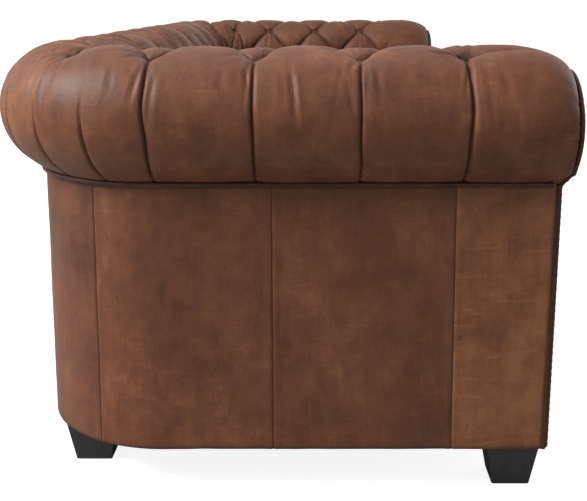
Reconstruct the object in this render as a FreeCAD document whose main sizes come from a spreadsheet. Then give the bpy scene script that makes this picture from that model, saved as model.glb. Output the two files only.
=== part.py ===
import FreeCAD, Part
import math
import os
import Sketcher

# Deep-buttoned leather sofa: arms and back of one height carry one continuous roll, which turns
# through rounded rear corners. Millimetres. +Z up, front towards -Y, origin at the middle of the
# floor under the sofa's box.
#
# The wall is the arm or back seen end on. In it, p is the distance inwards from the roll's
# outermost line, and s is the distance along the line on which the buttons are spaced, from the
# front end of the left arm, round the back, to the front end of the right arm.

V = FreeCAD.Vector
UP = V(0, 0, 1)

DIMENSIONS = [
    ("overall_length", 2100, "roll to roll"),
    ("overall_depth", 960, "nail heads to back roll"),
    ("overall_height", 740, "floor to the crowns of the roll"),
    ("corner_radius", 300, "plan radius of the roll's outermost line round a rear corner"),
    ("roll_radius", 108, "roll over its crowns"),
    ("crown_height", 4, "crown of a diamond above the mean surface"),
    ("crease_depth", 11, "folds between buttons, below the mean surface"),
    ("button_sink", 23, "buttons, below the mean surface"),
    ("pleat_depth", 8, "straight pleats below the last buttons"),
    ("fold_bulge", 3, "extra fullness between two folds"),
    ("inner_lean", 10.5, "lean of the inside face, degrees from upright"),
    ("roll_overhang", 72, "roll beyond the outside panels"),
    ("roll_tuck", 5.612, "underside of the roll to the top edge of the outside panels"),
    ("end_length", 95, "length over which the roll rounds off at the front"),
    ("end_radius_drop", 24, "loss of roll radius at the front end"),
    ("end_centre_drop", 16, "drop of the roll's centre at the front end"),
    ("corner_row_radius", 247.9, "plan radius of the line of spacing round a rear corner"),
    ("button_pitch", 162.5, "spacing of the buttons along the line of spacing"),
    ("first_button", 159, "front end of the roll to its first button"),
    ("button_radius", 12, "covered button"),
    ("button_dome", 5, "height of a button's dome"),
    ("button_shank", 1.5, "radius where the button's twine passes the leather"),
    ("button_seat", 1.8, "button's shank above the pit of its leather"),
    ("button_lift", 14, "button's rim above its shank"),
    ("leather_thickness", 2, "hide with its lining"),
    ("pad_thickness", 42, "foam under the buttoned leather"),
    ("fit_gap", 0.3, "clearance between layers"),
    ("board_thickness", 4, "bent plywood behind the outside leather"),
    ("rail_thickness", 30, "seat rails"),
    ("rail_height", 180, "seat rails"),
    ("scroll_thickness", 25, "scroll boards and ribs"),
    ("slat_thickness", 22, "tacking slats"),
    ("slat_height", 56, "tacking slats"),
    ("top_slat_width", 50, "slat on top of the ribs, in the roll"),
    ("top_slat_thickness", 20, "slat on top of the ribs, in the roll"),
    ("strap_width", 50, "elastic webbing"),
    ("strap_thickness", 2, "elastic webbing"),
    ("strap_pitch", 130, "elastic webbing"),
    ("foot_height", 81, "floor to the underside of the body"),
    ("foot_top", 90, "side of a foot at the top"),
    ("foot_base", 63, "side of a foot at the floor"),
    ("foot_edge", 3, "rounding of a foot's edges"),
    ("front_foot_inset_side", 135.5, "roll's outermost line to a front foot's axis"),
    ("front_foot_inset", 80.4, "front of the sofa to a front foot's axis"),
    ("rear_foot_inset_side", 219, "roll's outermost line to a rear foot's axis"),
    ("rear_foot_inset", 157.4, "back of the sofa to a rear foot's axis"),
    ("glide_thickness", 3, "felt glide under a foot"),
    ("glide_radius", 24, "felt glide under a foot"),
    ("bolt_radius", 4, "hanger bolt of a foot"),
    ("bolt_depth", 45, "hanger bolt inside the foot"),
    ("block_height", 40, "foot block"),
    ("block_side", 120, "foot block"),
    ("nut_radius", 5.5, "tee nut barrel"),
    ("nut_length", 14, "tee nut barrel"),
    ("nut_flange_radius", 10, "tee nut flange"),
    ("nut_flange", 1.6, "tee nut flange"),
    ("spring_wire", 1.9, "radius of the seat spring wire"),
    ("spring_width", 52, "zigzag spring across its loops"),
    ("spring_loop", 11, "radius of a spring's loops"),
    ("spring_count", 10, "zigzag springs"),
    ("clip_width", 20, "spring clip"),
    ("clip_length", 24, "spring clip"),
    ("clip_thickness", 1.2, "spring clip"),
    ("stretcher_width", 45, "seat stretcher"),
    ("stretcher_height", 70, "seat stretcher"),
    ("deck_pad_thickness", 24, "felt and foam over the springs"),
    ("cloth_thickness", 1, "platform cloth and dust cover"),
    ("edge_roll_depth", 44, "foam roll along the front rail"),
    ("edge_roll_bevel", 14, "slope along the front edge of the foam roll"),
    ("border_thickness", 10, "padded leather on the front rail"),
    ("border_rounding", 4.5, "long front edges of the padded leather"),
    ("cushion_count", 3, "loose seat cushions"),
    ("cushion_gap", 1.5, "between cushions, and between a cushion and the wall"),
    ("cushion_side", 118, "height of a cushion's side band"),
    ("cushion_crown", 26, "crown of a cushion's top above its piping"),
    ("cushion_sag", 12, "crown of a cushion's underside, flattened on the deck"),
    ("cushion_corner", 42, "plan radius of a cushion's corners"),
    ("cushion_draw", 7, "how far a cushion's sides pull in between corners"),
    ("cushion_bulge", 3, "fullness of a cushion's side band"),
    ("cushion_setback", 16, "front of the facings to the front of the cushions"),
    ("piping_radius", 4, "piping of the cushions and the roll"),
    ("facing_thickness", 14, "front facing panel"),
    ("facing_step", 19, "roll's part of the facing in front of its lower part"),
    ("facing_slant", 8, "foot of the facing behind its neck"),
    ("facing_neck_below", 8, "start of the facing's step, below the panels' top edge"),
    ("facing_neck_above", 14, "end of the facing's step, above the panels' top edge"),
    ("facing_piping_radius", 3.5, "piping behind the facing's edge"),
    ("nail_radius", 5, "decorative nail head"),
    ("nail_dome", 3.5, "height of a nail head"),
    ("nail_pitch", 12, "decorative nails"),
    ("nail_inset", 7, "nails from the facing's edge"),
    ("panel_width", 291, "outside leather panels"),
    ("front_panel_width", 164, "outside leather panel next to the front edge"),
]

doc = FreeCAD.newDocument("sofa")
sheet = doc.addObject("Spreadsheet::Sheet", "dims")
for row, (alias, value, meaning) in enumerate(DIMENSIONS, start=1):
    sheet.set(f"A{row}", meaning)
    sheet.set(f"B{row}", str(value))
    sheet.setAlias(f"B{row}", alias)
doc.recompute()


def size(alias):
    return float(sheet.get(alias))


# Positions that many pieces share, first as expressions on the sheet's cells.
HALF_LENGTH = "(dims.overall_length/2)"
HALF_DEPTH = "(dims.overall_depth/2)"
LEAN = "(dims.inner_lean*1deg)"
BASE_RADIUS = "(dims.roll_radius - dims.crown_height)"
ROLL_Z = "(dims.overall_height - dims.roll_radius)"
BODY_Z = "(dims.foot_height + dims.cloth_thickness)"
RAIL_TOP = f"({BODY_Z} + dims.rail_height)"
WALL_FOOT = f"({RAIL_TOP} + 2*dims.clip_thickness + 2*dims.spring_wire + 3*dims.fit_gap)"
BOARD_P = "(dims.roll_overhang + dims.leather_thickness + dims.fit_gap)"
RAIL_P = f"({BOARD_P} + dims.board_thickness + dims.fit_gap)"
UNDER_ROLL = (
    f"({ROLL_Z} - sqrt({BASE_RADIUS}^2 - (dims.roll_radius - {BOARD_P})^2) - dims.roll_tuck)"
)
WALL_WIDTH = (
    f"(dims.roll_radius + {BASE_RADIUS}*cos({LEAN})"
    f" + ({ROLL_Z} + {BASE_RADIUS}*sin({LEAN}) - {WALL_FOOT})*tan({LEAN}))"
)
SCROLL_WIDTH = (
    f"({WALL_WIDTH} - (dims.pad_thickness + dims.strap_thickness + dims.fit_gap"
    f" + dims.end_centre_drop/2)/cos({LEAN}))"
)
CORNER_X = f"({HALF_LENGTH} - dims.corner_radius)"
CORNER_Y = f"({HALF_DEPTH} - dims.corner_radius)"
FACING_FOOT = f"({HALF_DEPTH} - dims.nail_dome - dims.facing_step - dims.facing_slant)"
SCROLL_FRONT = f"({FACING_FOOT} - dims.facing_thickness - dims.fit_gap)"
SCROLL_BACK = f"({SCROLL_FRONT} - dims.scroll_thickness)"

# How far a tool solid reaches past what it cuts.
CUT_MARGIN = 50

# The same positions as numbers, for the shapes that are set by formula.
half_length = size("overall_length") / 2
half_depth = size("overall_depth") / 2
lean = math.radians(size("inner_lean"))
base_radius = size("roll_radius") - size("crown_height")
roll_z = size("overall_height") - size("roll_radius")
body_z = size("foot_height") + size("cloth_thickness")
rail_top = body_z + size("rail_height")
gap = size("fit_gap")
board_p = size("roll_overhang") + size("leather_thickness") + gap
rail_p = board_p + size("board_thickness") + gap
under_roll = roll_z - math.sqrt(base_radius**2 - (size("roll_radius") - board_p) ** 2) - size("roll_tuck")
spring_z = rail_top + size("clip_thickness") + size("spring_wire") + gap
wall_foot_z = spring_z + size("spring_wire") + size("clip_thickness") + 2 * gap
wall_width = (
    size("roll_radius")
    + base_radius * math.cos(lean)
    + (roll_z + base_radius * math.sin(lean) - wall_foot_z) * math.tan(lean)
)
corner_x = half_length - size("corner_radius")
corner_y = half_depth - size("corner_radius")
facing_front = half_depth - size("nail_dome")
facing_neck = facing_front - size("facing_step")
facing_foot = facing_neck - size("facing_slant")
neck_top = under_roll + size("facing_neck_above")
roll_front = facing_front - size("facing_thickness") - gap
scroll_front = facing_foot - size("facing_thickness") - gap
scroll_back = scroll_front - size("scroll_thickness")


def bind(obj, expressions):
    for prop, expression in expressions.items():
        obj.setExpression(prop, expression)
    return obj


def box(name, corner, extent):
    """A block from its lowest corner and its extent, all of them expressions."""
    made = doc.addObject("Part::Box", name)
    made.Label = name
    x, y, z = corner
    length, width, height = extent
    return bind(made, {
        "Placement.Base.x": x, "Placement.Base.y": y, "Placement.Base.z": z,
        "Length": length, "Width": width, "Height": height,
    })


def rod(name, foot, radius, height):
    """An upright cylinder from the middle of its foot."""
    made = doc.addObject("Part::Cylinder", name)
    made.Label = name
    x, y, z = foot
    return bind(made, {
        "Placement.Base.x": x, "Placement.Base.y": y, "Placement.Base.z": z,
        "Radius": radius, "Height": height,
    })


def mirrored(name, source):
    made = doc.addObject("Part::Mirroring", name)
    made.Label = name
    made.Source = source
    made.Normal = V(1, 0, 0)
    return made


def both_sides(stem, source):
    """The left piece keeps its object, and the right one mirrors it."""
    source.Label = f"{stem}_left"
    return [source, mirrored(f"{stem}_right", source)]


def cut(name, base, tool):
    made = doc.addObject("Part::Cut", name)
    made.Label = name
    made.Base = base
    made.Tool = tool
    return made


def common(name, base, tool):
    made = doc.addObject("Part::Common", name)
    made.Label = name
    made.Base = base
    made.Tool = tool
    return made


def group(name, members):
    made = doc.addObject("Part::Compound", name)
    made.Label = name
    made.Links = members
    return made


def pair(name, source):
    """One node with a piece of the left side and its mirror image."""
    return group(name, [source, mirrored(f"{name}_right", source)])


def formed(name, shape):
    made = doc.addObject("Part::Feature", name)
    made.Label = name
    made.Shape = shape
    return made


# Plan of the wall: where a point of the path lies, and which way is inwards.
row_radius = size("corner_row_radius")
straight_arm = roll_front + corner_y
corner_arc = row_radius * math.pi / 2
straight_back = 2 * corner_x
path_length = 2 * (straight_arm + corner_arc) + straight_back


def path_frame(s):
    """The outermost point and the inward direction at distance s along the path."""
    if s > path_length / 2:
        point, inwards = path_frame(path_length - s)
        return V(-point.x, point.y, 0), V(-inwards.x, inwards.y, 0)
    if s <= straight_arm:
        return V(-half_length, s - roll_front, 0), V(1, 0, 0)
    turn = min((s - straight_arm) / row_radius, math.pi / 2)
    outwards = V(-math.cos(turn), math.sin(turn), 0)
    beyond = max(s - straight_arm - corner_arc, 0)
    point = V(-corner_x + beyond, corner_y, 0) + outwards * size("corner_radius")
    return point, outwards * -1


# Columns of buttons. The top row's buttons stand at whole numbers of the pitch.
button_run = path_length - 2 * size("first_button")
columns = max(2 * round(button_run / size("button_pitch") / 2), 4)
pitch = button_run / columns
split_column = max(round((straight_arm - size("first_button") + corner_arc / 2) / pitch), 1)


def along(column):
    return size("first_button") + column * pitch


class Section:
    """The wall's section. Its outline starts under the roll, goes over it and down the inside."""

    # Angles on the roll, in degrees, of the rows and of the places between them.
    ROLL_ANGLES = [222, 170, 106, 78, 50, 18]
    # Shares of the straight inside face, down to its foot.
    FACE_SHARES = [0.09, 0.21, 0.33, 0.62, 1.0]
    # The row number of each node: 0 to 3 are the rows of buttons, with pleats before and after.
    ROWS = [-1, -0.7, -0.35, 0, 0.5, 1, 1.5, 2, 2.5, 3, 3.5, 4]

    def __init__(self, shrink=0.0, inset=0.0):
        """shrink is 1 at the front end of the roll. inset moves the whole outline inwards."""
        self.radius = base_radius - shrink * size("end_radius_drop") - inset
        self.centre_p = size("roll_radius")
        self.centre_z = roll_z - shrink * size("end_centre_drop")
        self.start_p = board_p + inset
        self.inset = inset
        foot_p = wall_width - (shrink * size("end_radius_drop") + inset) / math.cos(lean)
        across, down = foot_p - self.centre_p, self.centre_z - wall_foot_z
        reach = math.hypot(across, down)
        self.face_angle = math.acos(self.radius / reach) - math.atan2(down, across)
        self.face_length = math.sqrt(reach**2 - self.radius**2)

    def on_roll(self, degrees, height):
        angle = math.radians(degrees)
        out = self.radius + height
        return self.centre_p + out * math.cos(angle), self.centre_z + out * math.sin(angle)

    def on_face(self, share, height):
        """A point down the face. Its height turns from square to the face to level at the foot."""
        down = share * self.face_length
        cosine, sine = math.cos(self.face_angle), math.sin(self.face_angle)
        turned = self.face_angle * (1 - share)
        return (
            self.centre_p + self.radius * cosine + down * sine + height * math.cos(turned),
            self.centre_z + self.radius * sine - down * cosine + height * math.sin(turned),
        )

    def nodes(self, heights, bulge=0.0):
        """Points of the outline, with an arc's middle point between each two."""
        start = (self.start_p, under_roll)
        places = self.places()
        points = [start]
        for place, height in zip(places, heights[1:]):
            points.append(self.at(place, height))
        middles = []
        for k in range(len(points) - 1):
            height = (heights[k] + heights[k + 1]) / 2 + bulge
            if k == 0:
                before = 180 + math.degrees(math.acos((self.centre_p - self.start_p) / self.radius))
                middles.append(self.on_roll((self.ROLL_ANGLES[0] + before) / 2, 0))
                continue
            first, second = places[k - 1], places[k]
            if first[0] == second[0]:
                middles.append(self.at((first[0], (first[1] + second[1]) / 2), height))
            else:
                middles.append(self.at(("face", 0), height))
        return points, middles

    def at(self, place, height):
        kind, where = place
        return self.on_roll(where, height) if kind == "roll" else self.on_face(where, height)

    def places(self):
        """Where the nodes after the first lie."""
        return [("roll", angle) for angle in self.ROLL_ANGLES] + [("face", f) for f in self.FACE_SHARES]


ROW_COUNT = 4
LAST_ROW = ROW_COUNT - 1


def near_whole(value):
    return abs(value - round(value)) < 0.01


def in_corner(column):
    """The rounded corners gather twice as many pleats."""
    s = along(column)
    s = min(s, path_length - s)
    return straight_arm - pitch / 4 < s < straight_arm + corner_arc + pitch / 4


def tuft_height(column, row):
    """Height of the buttoned surface above the mean one, at a column and a row."""
    crown, crease = size("crown_height") - size("fold_bulge"), size("crease_depth")
    sink, pleat = size("button_sink"), size("pleat_depth")
    if column < 0 or column > columns:
        # In front of the first buttons, pleats run forward from the first and third rows.
        reach = -column if column < 0 else column - columns
        return -pleat * max(1 - reach, 0) if row in (0, 2) else crown
    if row < 0:
        if row == Section.ROWS[0]:
            return 0
        pleated = near_whole(column) or (in_corner(column) and near_whole(column - 0.5))
        return -pleat if pleated else crown
    if row > LAST_ROW:
        if row == Section.ROWS[-1]:
            return -pleat / 2
        return -pleat if near_whole(column - 0.5) else 0
    rising, falling = column + row / 2, column - row / 2
    if near_whole(rising) and near_whole(falling):
        return -sink
    fullness = abs(math.sin(math.pi * rising) * math.sin(math.pi * falling))
    return -crease + (crease + crown) * math.sqrt(fullness)


def end_shrink(from_end):
    """How far the roll has rounded off at a distance from its front end, from 0 to 1."""
    share = min(max(1 - from_end / size("end_length"), 0), 1)
    return 1 - math.sqrt(1 - share**2)


def facing_surface(z):
    """The facing's y at a height."""
    line = facing_polygon(0)
    for low, high in zip(line, line[1:]):
        if z <= high.z:
            share = max((z - low.z) / (high.z - low.z), 0)
            return low.y + share * (high.y - low.y)
    return line[-1].y


def arcs(frame, points, middles):
    """Edges from point to point, through the middles. A flat one is a line."""
    origin, inwards = frame

    def place(at):
        return origin + inwards * at[0] + UP * at[1]

    edges = []
    for k, middle in enumerate(middles):
        first, through, last = place(points[k]), place(middle), place(points[k + 1])
        flat = through.distanceToLine(first, last - first) < 0.01
        edge = Part.LineSegment(first, last) if flat else Part.Arc(first, through, last)
        edges.append(edge.toShape())
    return edges


# The tightest part of a corner keeps this share of the room between its folds.
LEAST_ROOM = 0.16


def crowding(p):
    """How deep folds are at a place in a rounded corner, against those of the top row."""
    return math.sqrt(min(max((size("corner_radius") - p) / row_radius, LEAST_ROOM), 1))


def heights_at(s, section):
    """Heights of the outline's nodes. The lower facing stands further back, so the inside face
    rounds off towards it earlier than the roll does."""
    column = (s - size("first_button")) / pitch
    nearest = round(column * 4) / 4
    heights = [tuft_height(nearest, row) for row in Section.ROWS]
    from_end = min(s, path_length - s)
    if straight_arm < from_end < straight_arm + corner_arc:
        # The folds are shallower where the corner crowds them.
        for k, place in enumerate(section.places(), start=1):
            heights[k] *= crowding(section.at(place, 0)[0])
    for k, share in enumerate(Section.FACE_SHARES, start=1 + len(Section.ROLL_ANGLES)):
        setback = facing_front + facing_surface(section.on_face(share, 0)[1])
        early = end_shrink(from_end - setback) - end_shrink(from_end)
        heights[k] -= early * size("end_radius_drop")
    return heights


def band_wire(s, outer_inset, inner_inset, follow):
    """A closed outline between two offsets of the buttoned surface. follow is 1 where the inner
    side follows the folds, and 0 where it is the smooth core, which keeps its size to the end."""
    shrink = end_shrink(min(s, path_length - s))
    bulge = size("fold_bulge")
    outside = Section(shrink, outer_inset)
    heights = heights_at(s, outside)
    outside = outside.nodes(heights, bulge)
    kept = (1 - follow) * shrink * size("end_radius_drop")
    inside = Section(shrink, inner_inset - kept)
    inside = inside.nodes([height * follow for height in heights], bulge * follow)
    frame = path_frame(s)
    origin, inwards = frame

    def place(at):
        return origin + inwards * at[0] + UP * at[1]

    edges = arcs(frame, *outside)
    edges.append(Part.LineSegment(place(outside[0][-1]), place(inside[0][-1])).toShape())
    edges += arcs(frame, inside[0][::-1], inside[1][::-1])
    edges.append(Part.LineSegment(place(inside[0][0]), place(outside[0][0])).toShape())
    return Part.Wire(edges)


# Extra sections of the band in its rounded end, as shares of the end's length.
END_STATIONS = (0.06, 0.2, 0.5)


def stations(start, end):
    """Distances at which the band has a section: each quarter column, and more at a rounded end."""
    found = {start, end}
    before_first = math.ceil(size("first_button") / pitch) * 4
    for quarter in range(-before_first, 4 * columns + before_first + 1):
        s = along(quarter / 4)
        if start + pitch / 16 < s < end - pitch / 16:
            found.add(s)
    for share in END_STATIONS:
        for s in (share * size("end_length"), path_length - share * size("end_length")):
            if start < s < end:
                found.add(s)
    return sorted(found)


def band(start, end, outer_inset, inner_inset, follow):
    wires = [band_wire(s, outer_inset, inner_inset, follow) for s in stations(start, end)]
    return Part.makeLoft(wires, True, True)


def facing_polygon(offset):
    """The facing's front in the YZ plane, from its foot to above the roll, moved back by offset."""
    top = size("overall_height") + CUT_MARGIN
    return [
        V(0, -(facing_foot - offset), size("foot_height")),
        V(0, -(facing_neck - offset), under_roll - size("facing_neck_below")),
        V(0, -(facing_front - offset), neck_top),
        V(0, -(facing_front - offset), top),
    ]


def prism_along_x(points, start_x, length):
    face = Part.Face(Part.makePolygon(points + points[:1]))
    face.translate(V(start_x, 0, 0))
    return face.extrude(V(length, 0, 0))


def in_front_of(offset):
    """Everything in front of the facing's surface moved back by offset, at the left arm."""
    line = facing_polygon(offset)
    ahead = -half_depth - CUT_MARGIN
    points = [V(0, ahead, 0), V(0, line[0].y, 0)] + line + [V(0, ahead, line[-1].z)]
    return prism_along_x(points, -half_length - CUT_MARGIN, wall_width + 2 * CUT_MARGIN)


def wall_outline(section, outer_p, foot_z):
    """The wall seen end on, without folds, as an outline at y = 0 of the left arm."""
    points, middles = section.nodes([0] * len(Section.ROWS))
    edges = arcs((V(-half_length, 0, 0), V(1, 0, 0)), points, middles)
    start, end = points[0], points[-1]
    step = under_roll - gap
    corners = [end, (end[0], foot_z), (outer_p, foot_z), (outer_p, step), (start[0], step), start]
    places = [V(-half_length + p, 0, z) for p, z in corners]
    edges += [Part.LineSegment(a, b).toShape() for a, b in zip(places, places[1:])]
    return Part.Wire(edges)


def board_section():
    """The scroll board's outline, which fits inside the padding along its whole depth."""
    inset = size("pad_thickness") + size("strap_thickness") + gap
    return Section(0.5, inset + (size("end_centre_drop") - size("end_radius_drop")) / 2)


# Seat frame: hardwood rails between the scroll boards, with bent rails round the rear corners.
def seat_frame():
    rail, tall = "dims.rail_thickness", "dims.rail_height"
    front = box(
        "front_seat_rail",
        (f"-{HALF_LENGTH} + {SCROLL_WIDTH}", f"-{SCROLL_FRONT}", BODY_Z),
        (f"2*({HALF_LENGTH} - {SCROLL_WIDTH})", rail, tall),
    )
    # The spring rail reaches the bent corner rails.
    reach = f"(dims.corner_radius - {RAIL_P} - {rail})"
    behind = f"(dims.corner_radius - {WALL_WIDTH} + {rail})"
    inner_end = f"({CORNER_X} + sqrt({reach}^2 - {behind}^2))"
    spring_rail = box(
        "spring_rail",
        (f"-{inner_end}", f"{HALF_DEPTH} - {WALL_WIDTH}", f"{BODY_Z} + dims.stretcher_height"),
        (f"2*{inner_end}", rail, f"{tall} - dims.stretcher_height"),
    )
    back = box(
        "back_seat_rail",
        (f"-{CORNER_X}", f"{HALF_DEPTH} - {RAIL_P} - {rail}", BODY_Z),
        (f"2*{CORNER_X}", rail, tall),
    )
    side = box(
        "left_side_rail",
        (f"-{HALF_LENGTH} + {RAIL_P}", f"-{SCROLL_BACK}", BODY_Z),
        (rail, f"{CORNER_Y} + {SCROLL_BACK}", tall),
    )
    sides = pair("side_seat_rails", side)
    ring_radius = f"(dims.corner_radius - {RAIL_P})"
    axis = (f"-{CORNER_X}", CORNER_Y, BODY_Z)
    outer = rod("corner_rail_outside", axis, ring_radius, tall)
    inner = rod("corner_rail_inside", axis, f"{ring_radius} - {rail}", tall)
    for quarter in (outer, inner):
        quarter.Angle = 90
        quarter.Placement.Rotation = FreeCAD.Rotation(UP, 90)
    corner = cut("corner_rail_left", outer, inner)
    corners = pair("rear_corner_rails", corner)
    stretcher = box(
        "seat_stretcher_left",
        (
            f"-({HALF_LENGTH} - {WALL_WIDTH})/3 - dims.stretcher_width/2",
            f"-{SCROLL_FRONT} + {rail}",
            BODY_Z,
        ),
        (
            "dims.stretcher_width",
            f"{HALF_DEPTH} - {RAIL_P} - 2*{rail} + {SCROLL_FRONT}",
            "dims.stretcher_height",
        ),
    )
    return [front, back, spring_rail, sides, corners, pair("seat_stretchers", stretcher)]


# Feet: tapered square blocks on hanger bolts, screwed into tee nuts in the foot blocks.
FRONT_FOOT = (f"-{HALF_LENGTH} + dims.front_foot_inset_side", f"-{HALF_DEPTH} + dims.front_foot_inset")
REAR_FOOT = (f"-{HALF_LENGTH} + dims.rear_foot_inset_side", f"{HALF_DEPTH} - dims.rear_foot_inset")


def origin_plane(body):
    return next(f for f in body.Origin.OriginFeatures if f.Role == "XY_Plane")


def foot_body(name, place):
    """A tapered square foot with rounded edges and a blind hole for its bolt."""
    body = doc.addObject("PartDesign::Body", name)
    bind(body, {"Placement.Base.x": place[0], "Placement.Base.y": place[1]})
    base = body.newObject("Sketcher::SketchObject", f"{name}_base")
    base.AttachmentSupport = [(origin_plane(body), "")]
    base.MapMode = "FlatFace"
    base.setExpression("AttachmentOffset.Base.z", "dims.glide_thickness")
    half = size("foot_base") / 2
    corners = [V(-half, -half, 0), V(half, -half, 0), V(half, half, 0), V(-half, half, 0)]
    for k in range(4):
        base.addGeometry(Part.LineSegment(corners[k], corners[(k + 1) % 4]), False)
        base.addConstraint(Sketcher.Constraint("Horizontal" if k % 2 == 0 else "Vertical", k))
    for k in range(4):
        base.addConstraint(Sketcher.Constraint("Coincident", k, 2, (k + 1) % 4, 1))
    base.addConstraint(Sketcher.Constraint("Symmetric", 0, 1, 1, 2, -1, 1))
    for kind, line in (("DistanceX", 0), ("DistanceY", 1)):
        number = base.addConstraint(Sketcher.Constraint(kind, line, 1, line, 2, 2 * half))
        base.setExpression(f"Constraints[{number}]", "dims.foot_base")
    block = body.newObject("PartDesign::Pad", f"{name}_block")
    block.Profile = base
    block.setExpression("Length", "dims.foot_height - dims.glide_thickness")
    block.setExpression(
        "TaperAngle", "atan((dims.foot_top - dims.foot_base)/2/(dims.foot_height - dims.glide_thickness))"
    )
    doc.recompute()
    slanted = [
        f"Edge{number}"
        for number, edge in enumerate(block.Shape.Edges, start=1)
        if abs(edge.Vertexes[0].Z - edge.Vertexes[1].Z) > size("foot_height") / 2
    ]
    rounded = body.newObject("PartDesign::Fillet", f"{name}_edges")
    rounded.Base = (block, slanted)
    rounded.setExpression("Radius", "dims.foot_edge")
    doc.recompute()
    bore = body.newObject("Sketcher::SketchObject", f"{name}_bore")
    bore.AttachmentSupport = [(origin_plane(body), "")]
    bore.MapMode = "FlatFace"
    bore.setExpression("AttachmentOffset.Base.z", "dims.foot_height")
    bore.addGeometry(Part.Circle(V(0, 0, 0), UP, size("bolt_radius")), False)
    bore.addConstraint(Sketcher.Constraint("Coincident", 0, 3, -1, 1))
    radius = bore.addConstraint(Sketcher.Constraint("Radius", 0, size("bolt_radius")))
    bore.setExpression(f"Constraints[{radius}]", "dims.bolt_radius + dims.fit_gap")
    hole = body.newObject("PartDesign::Pocket", f"{name}_hole")
    hole.Profile = bore
    hole.setExpression("Length", "dims.bolt_depth + dims.fit_gap")
    body.Tip = hole
    return body


def foot_fittings(stem, place):
    """The bolt, the tee nut and the glide of one foot."""
    x, y = place
    bolt = rod(f"{stem}_bolt", (x, y, "dims.foot_height - dims.bolt_depth"), "dims.bolt_radius",
               f"dims.bolt_depth + dims.cloth_thickness + dims.block_height")
    block_top = f"({BODY_Z} + dims.block_height)"
    barrel = rod(f"{stem}_nut_barrel", (x, y, f"{block_top} - dims.nut_length"), "dims.nut_radius",
                 "dims.nut_length")
    flange = rod(f"{stem}_nut_flange", (x, y, block_top), "dims.nut_flange_radius", "dims.nut_flange")
    whole = doc.addObject("Part::Fuse", f"{stem}_nut_blank")
    whole.Base, whole.Tool = barrel, flange
    thread = rod(f"{stem}_nut_thread", (x, y, f"{block_top} - dims.nut_length - 1"),
                 "dims.bolt_radius + dims.fit_gap", "dims.nut_length + dims.nut_flange + 2")
    nut = cut(f"{stem}_nut", whole, thread)
    glide = rod(f"{stem}_glide", (x, y, "0"), "dims.glide_radius", "dims.glide_thickness")
    return bolt, nut, glide


def foot_block(stem, place):
    """A hardwood block behind the rails, bored for the tee nut and the bolt."""
    x, y = place
    half = "dims.block_side/2"
    blank = box(f"{stem}_block_blank", (f"{x} - {half}", f"{y} - {half}", BODY_Z),
                ("dims.block_side", "dims.block_side", "dims.block_height"))
    seat_z = f"{BODY_Z} + dims.block_height - dims.nut_length - dims.fit_gap"
    seat = rod(f"{stem}_block_seat", (x, y, seat_z),
               "dims.nut_radius + dims.fit_gap", "dims.nut_length + 1")
    bore = rod(f"{stem}_block_bore", (x, y, f"{BODY_Z} - 1"), "dims.bolt_radius + dims.fit_gap",
               "dims.block_height + 2")
    bored = doc.addObject("Part::Fuse", f"{stem}_block_bored")
    bored.Base, bored.Tool = seat, bore
    return cut(f"{stem}_block_cut", blank, bored)


def feet():
    made = []
    fittings = []
    for stem, place in (("foot_front", FRONT_FOOT), ("foot_rear", REAR_FOOT)):
        made += both_sides(stem, foot_body(f"{stem}_left", place))
        fittings.append(foot_fittings(stem, place))
    for index, name in enumerate(("foot_bolts", "foot_tee_nuts", "foot_glides")):
        left = [fitting[index] for fitting in fittings]
        right = [mirrored(f"{piece.Name}_right", piece) for piece in left]
        made.append(group(name, left + right))

    # A front block fills the corner of the scroll board and the side rail, and a rear one the
    # inside of the bent corner rail.
    room = box(
        "front_block_room",
        (f"-{HALF_LENGTH} + {RAIL_P} + dims.rail_thickness", f"-{SCROLL_BACK}", BODY_Z),
        ("dims.block_side*2", "dims.block_side*2", "dims.block_height"),
    )
    front = common("front_foot_block", foot_block("front", FRONT_FOOT), room)
    inside = rod("rear_block_room", (f"-{CORNER_X}", CORNER_Y, BODY_Z),
                 f"dims.corner_radius - {RAIL_P} - dims.rail_thickness", "dims.block_height")
    rear = common("rear_foot_block", foot_block("rear", REAR_FOOT), inside)
    opposite = [mirrored(f"{block.Name}_right", block) for block in (front, rear)]
    made.append(group("foot_blocks", [front, rear] + opposite))
    return made


# Scroll boards and ribs: plywood cut to the wall's section, less its padding, notched for slats.
def slat_boxes():
    """The arm's slats as (name, p, z, width, height), in the wall's section."""
    thick, tall = size("slat_thickness"), size("slat_height")
    core = Section(0, size("pad_thickness") + size("strap_thickness") + gap)
    top_width, top_thick = size("top_slat_width"), size("top_slat_thickness")
    rise = math.sqrt(core.radius**2 - (top_width / 2) ** 2)
    upper_z = core.centre_z - tall
    upper_p = core.on_roll(math.degrees(core.face_angle), 0)[0] - thick
    foot_inside = core.on_face(1.0, 0)[0]
    stay_p = foot_inside - (rail_top + tall - wall_foot_z) * math.tan(lean) - thick - gap
    return {
        "top": (core.centre_p - top_width / 2, core.centre_z + rise - top_thick, top_width, top_thick),
        "outer": (rail_p, under_roll - gap - tall, thick, tall),
        "upper": (upper_p, upper_z, thick, tall),
        "stay": (stay_p, rail_top, thick, tall),
    }


def rib_shape():
    section = Section(0, size("pad_thickness") + size("strap_thickness") + gap)
    thick = size("scroll_thickness")
    rib = Part.Face(wall_outline(section, rail_p, rail_top)).extrude(V(0, thick, 0))
    for name, (p, z, width, height) in slat_boxes().items():
        # The top slat lies in a notch that is open above.
        room = 2 * height if name == "top" else height
        corner = V(-half_length + p, -CUT_MARGIN, z)
        rib = rib.cut(Part.makeBox(width, thick + 2 * CUT_MARGIN, room, corner))
    return rib


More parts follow.
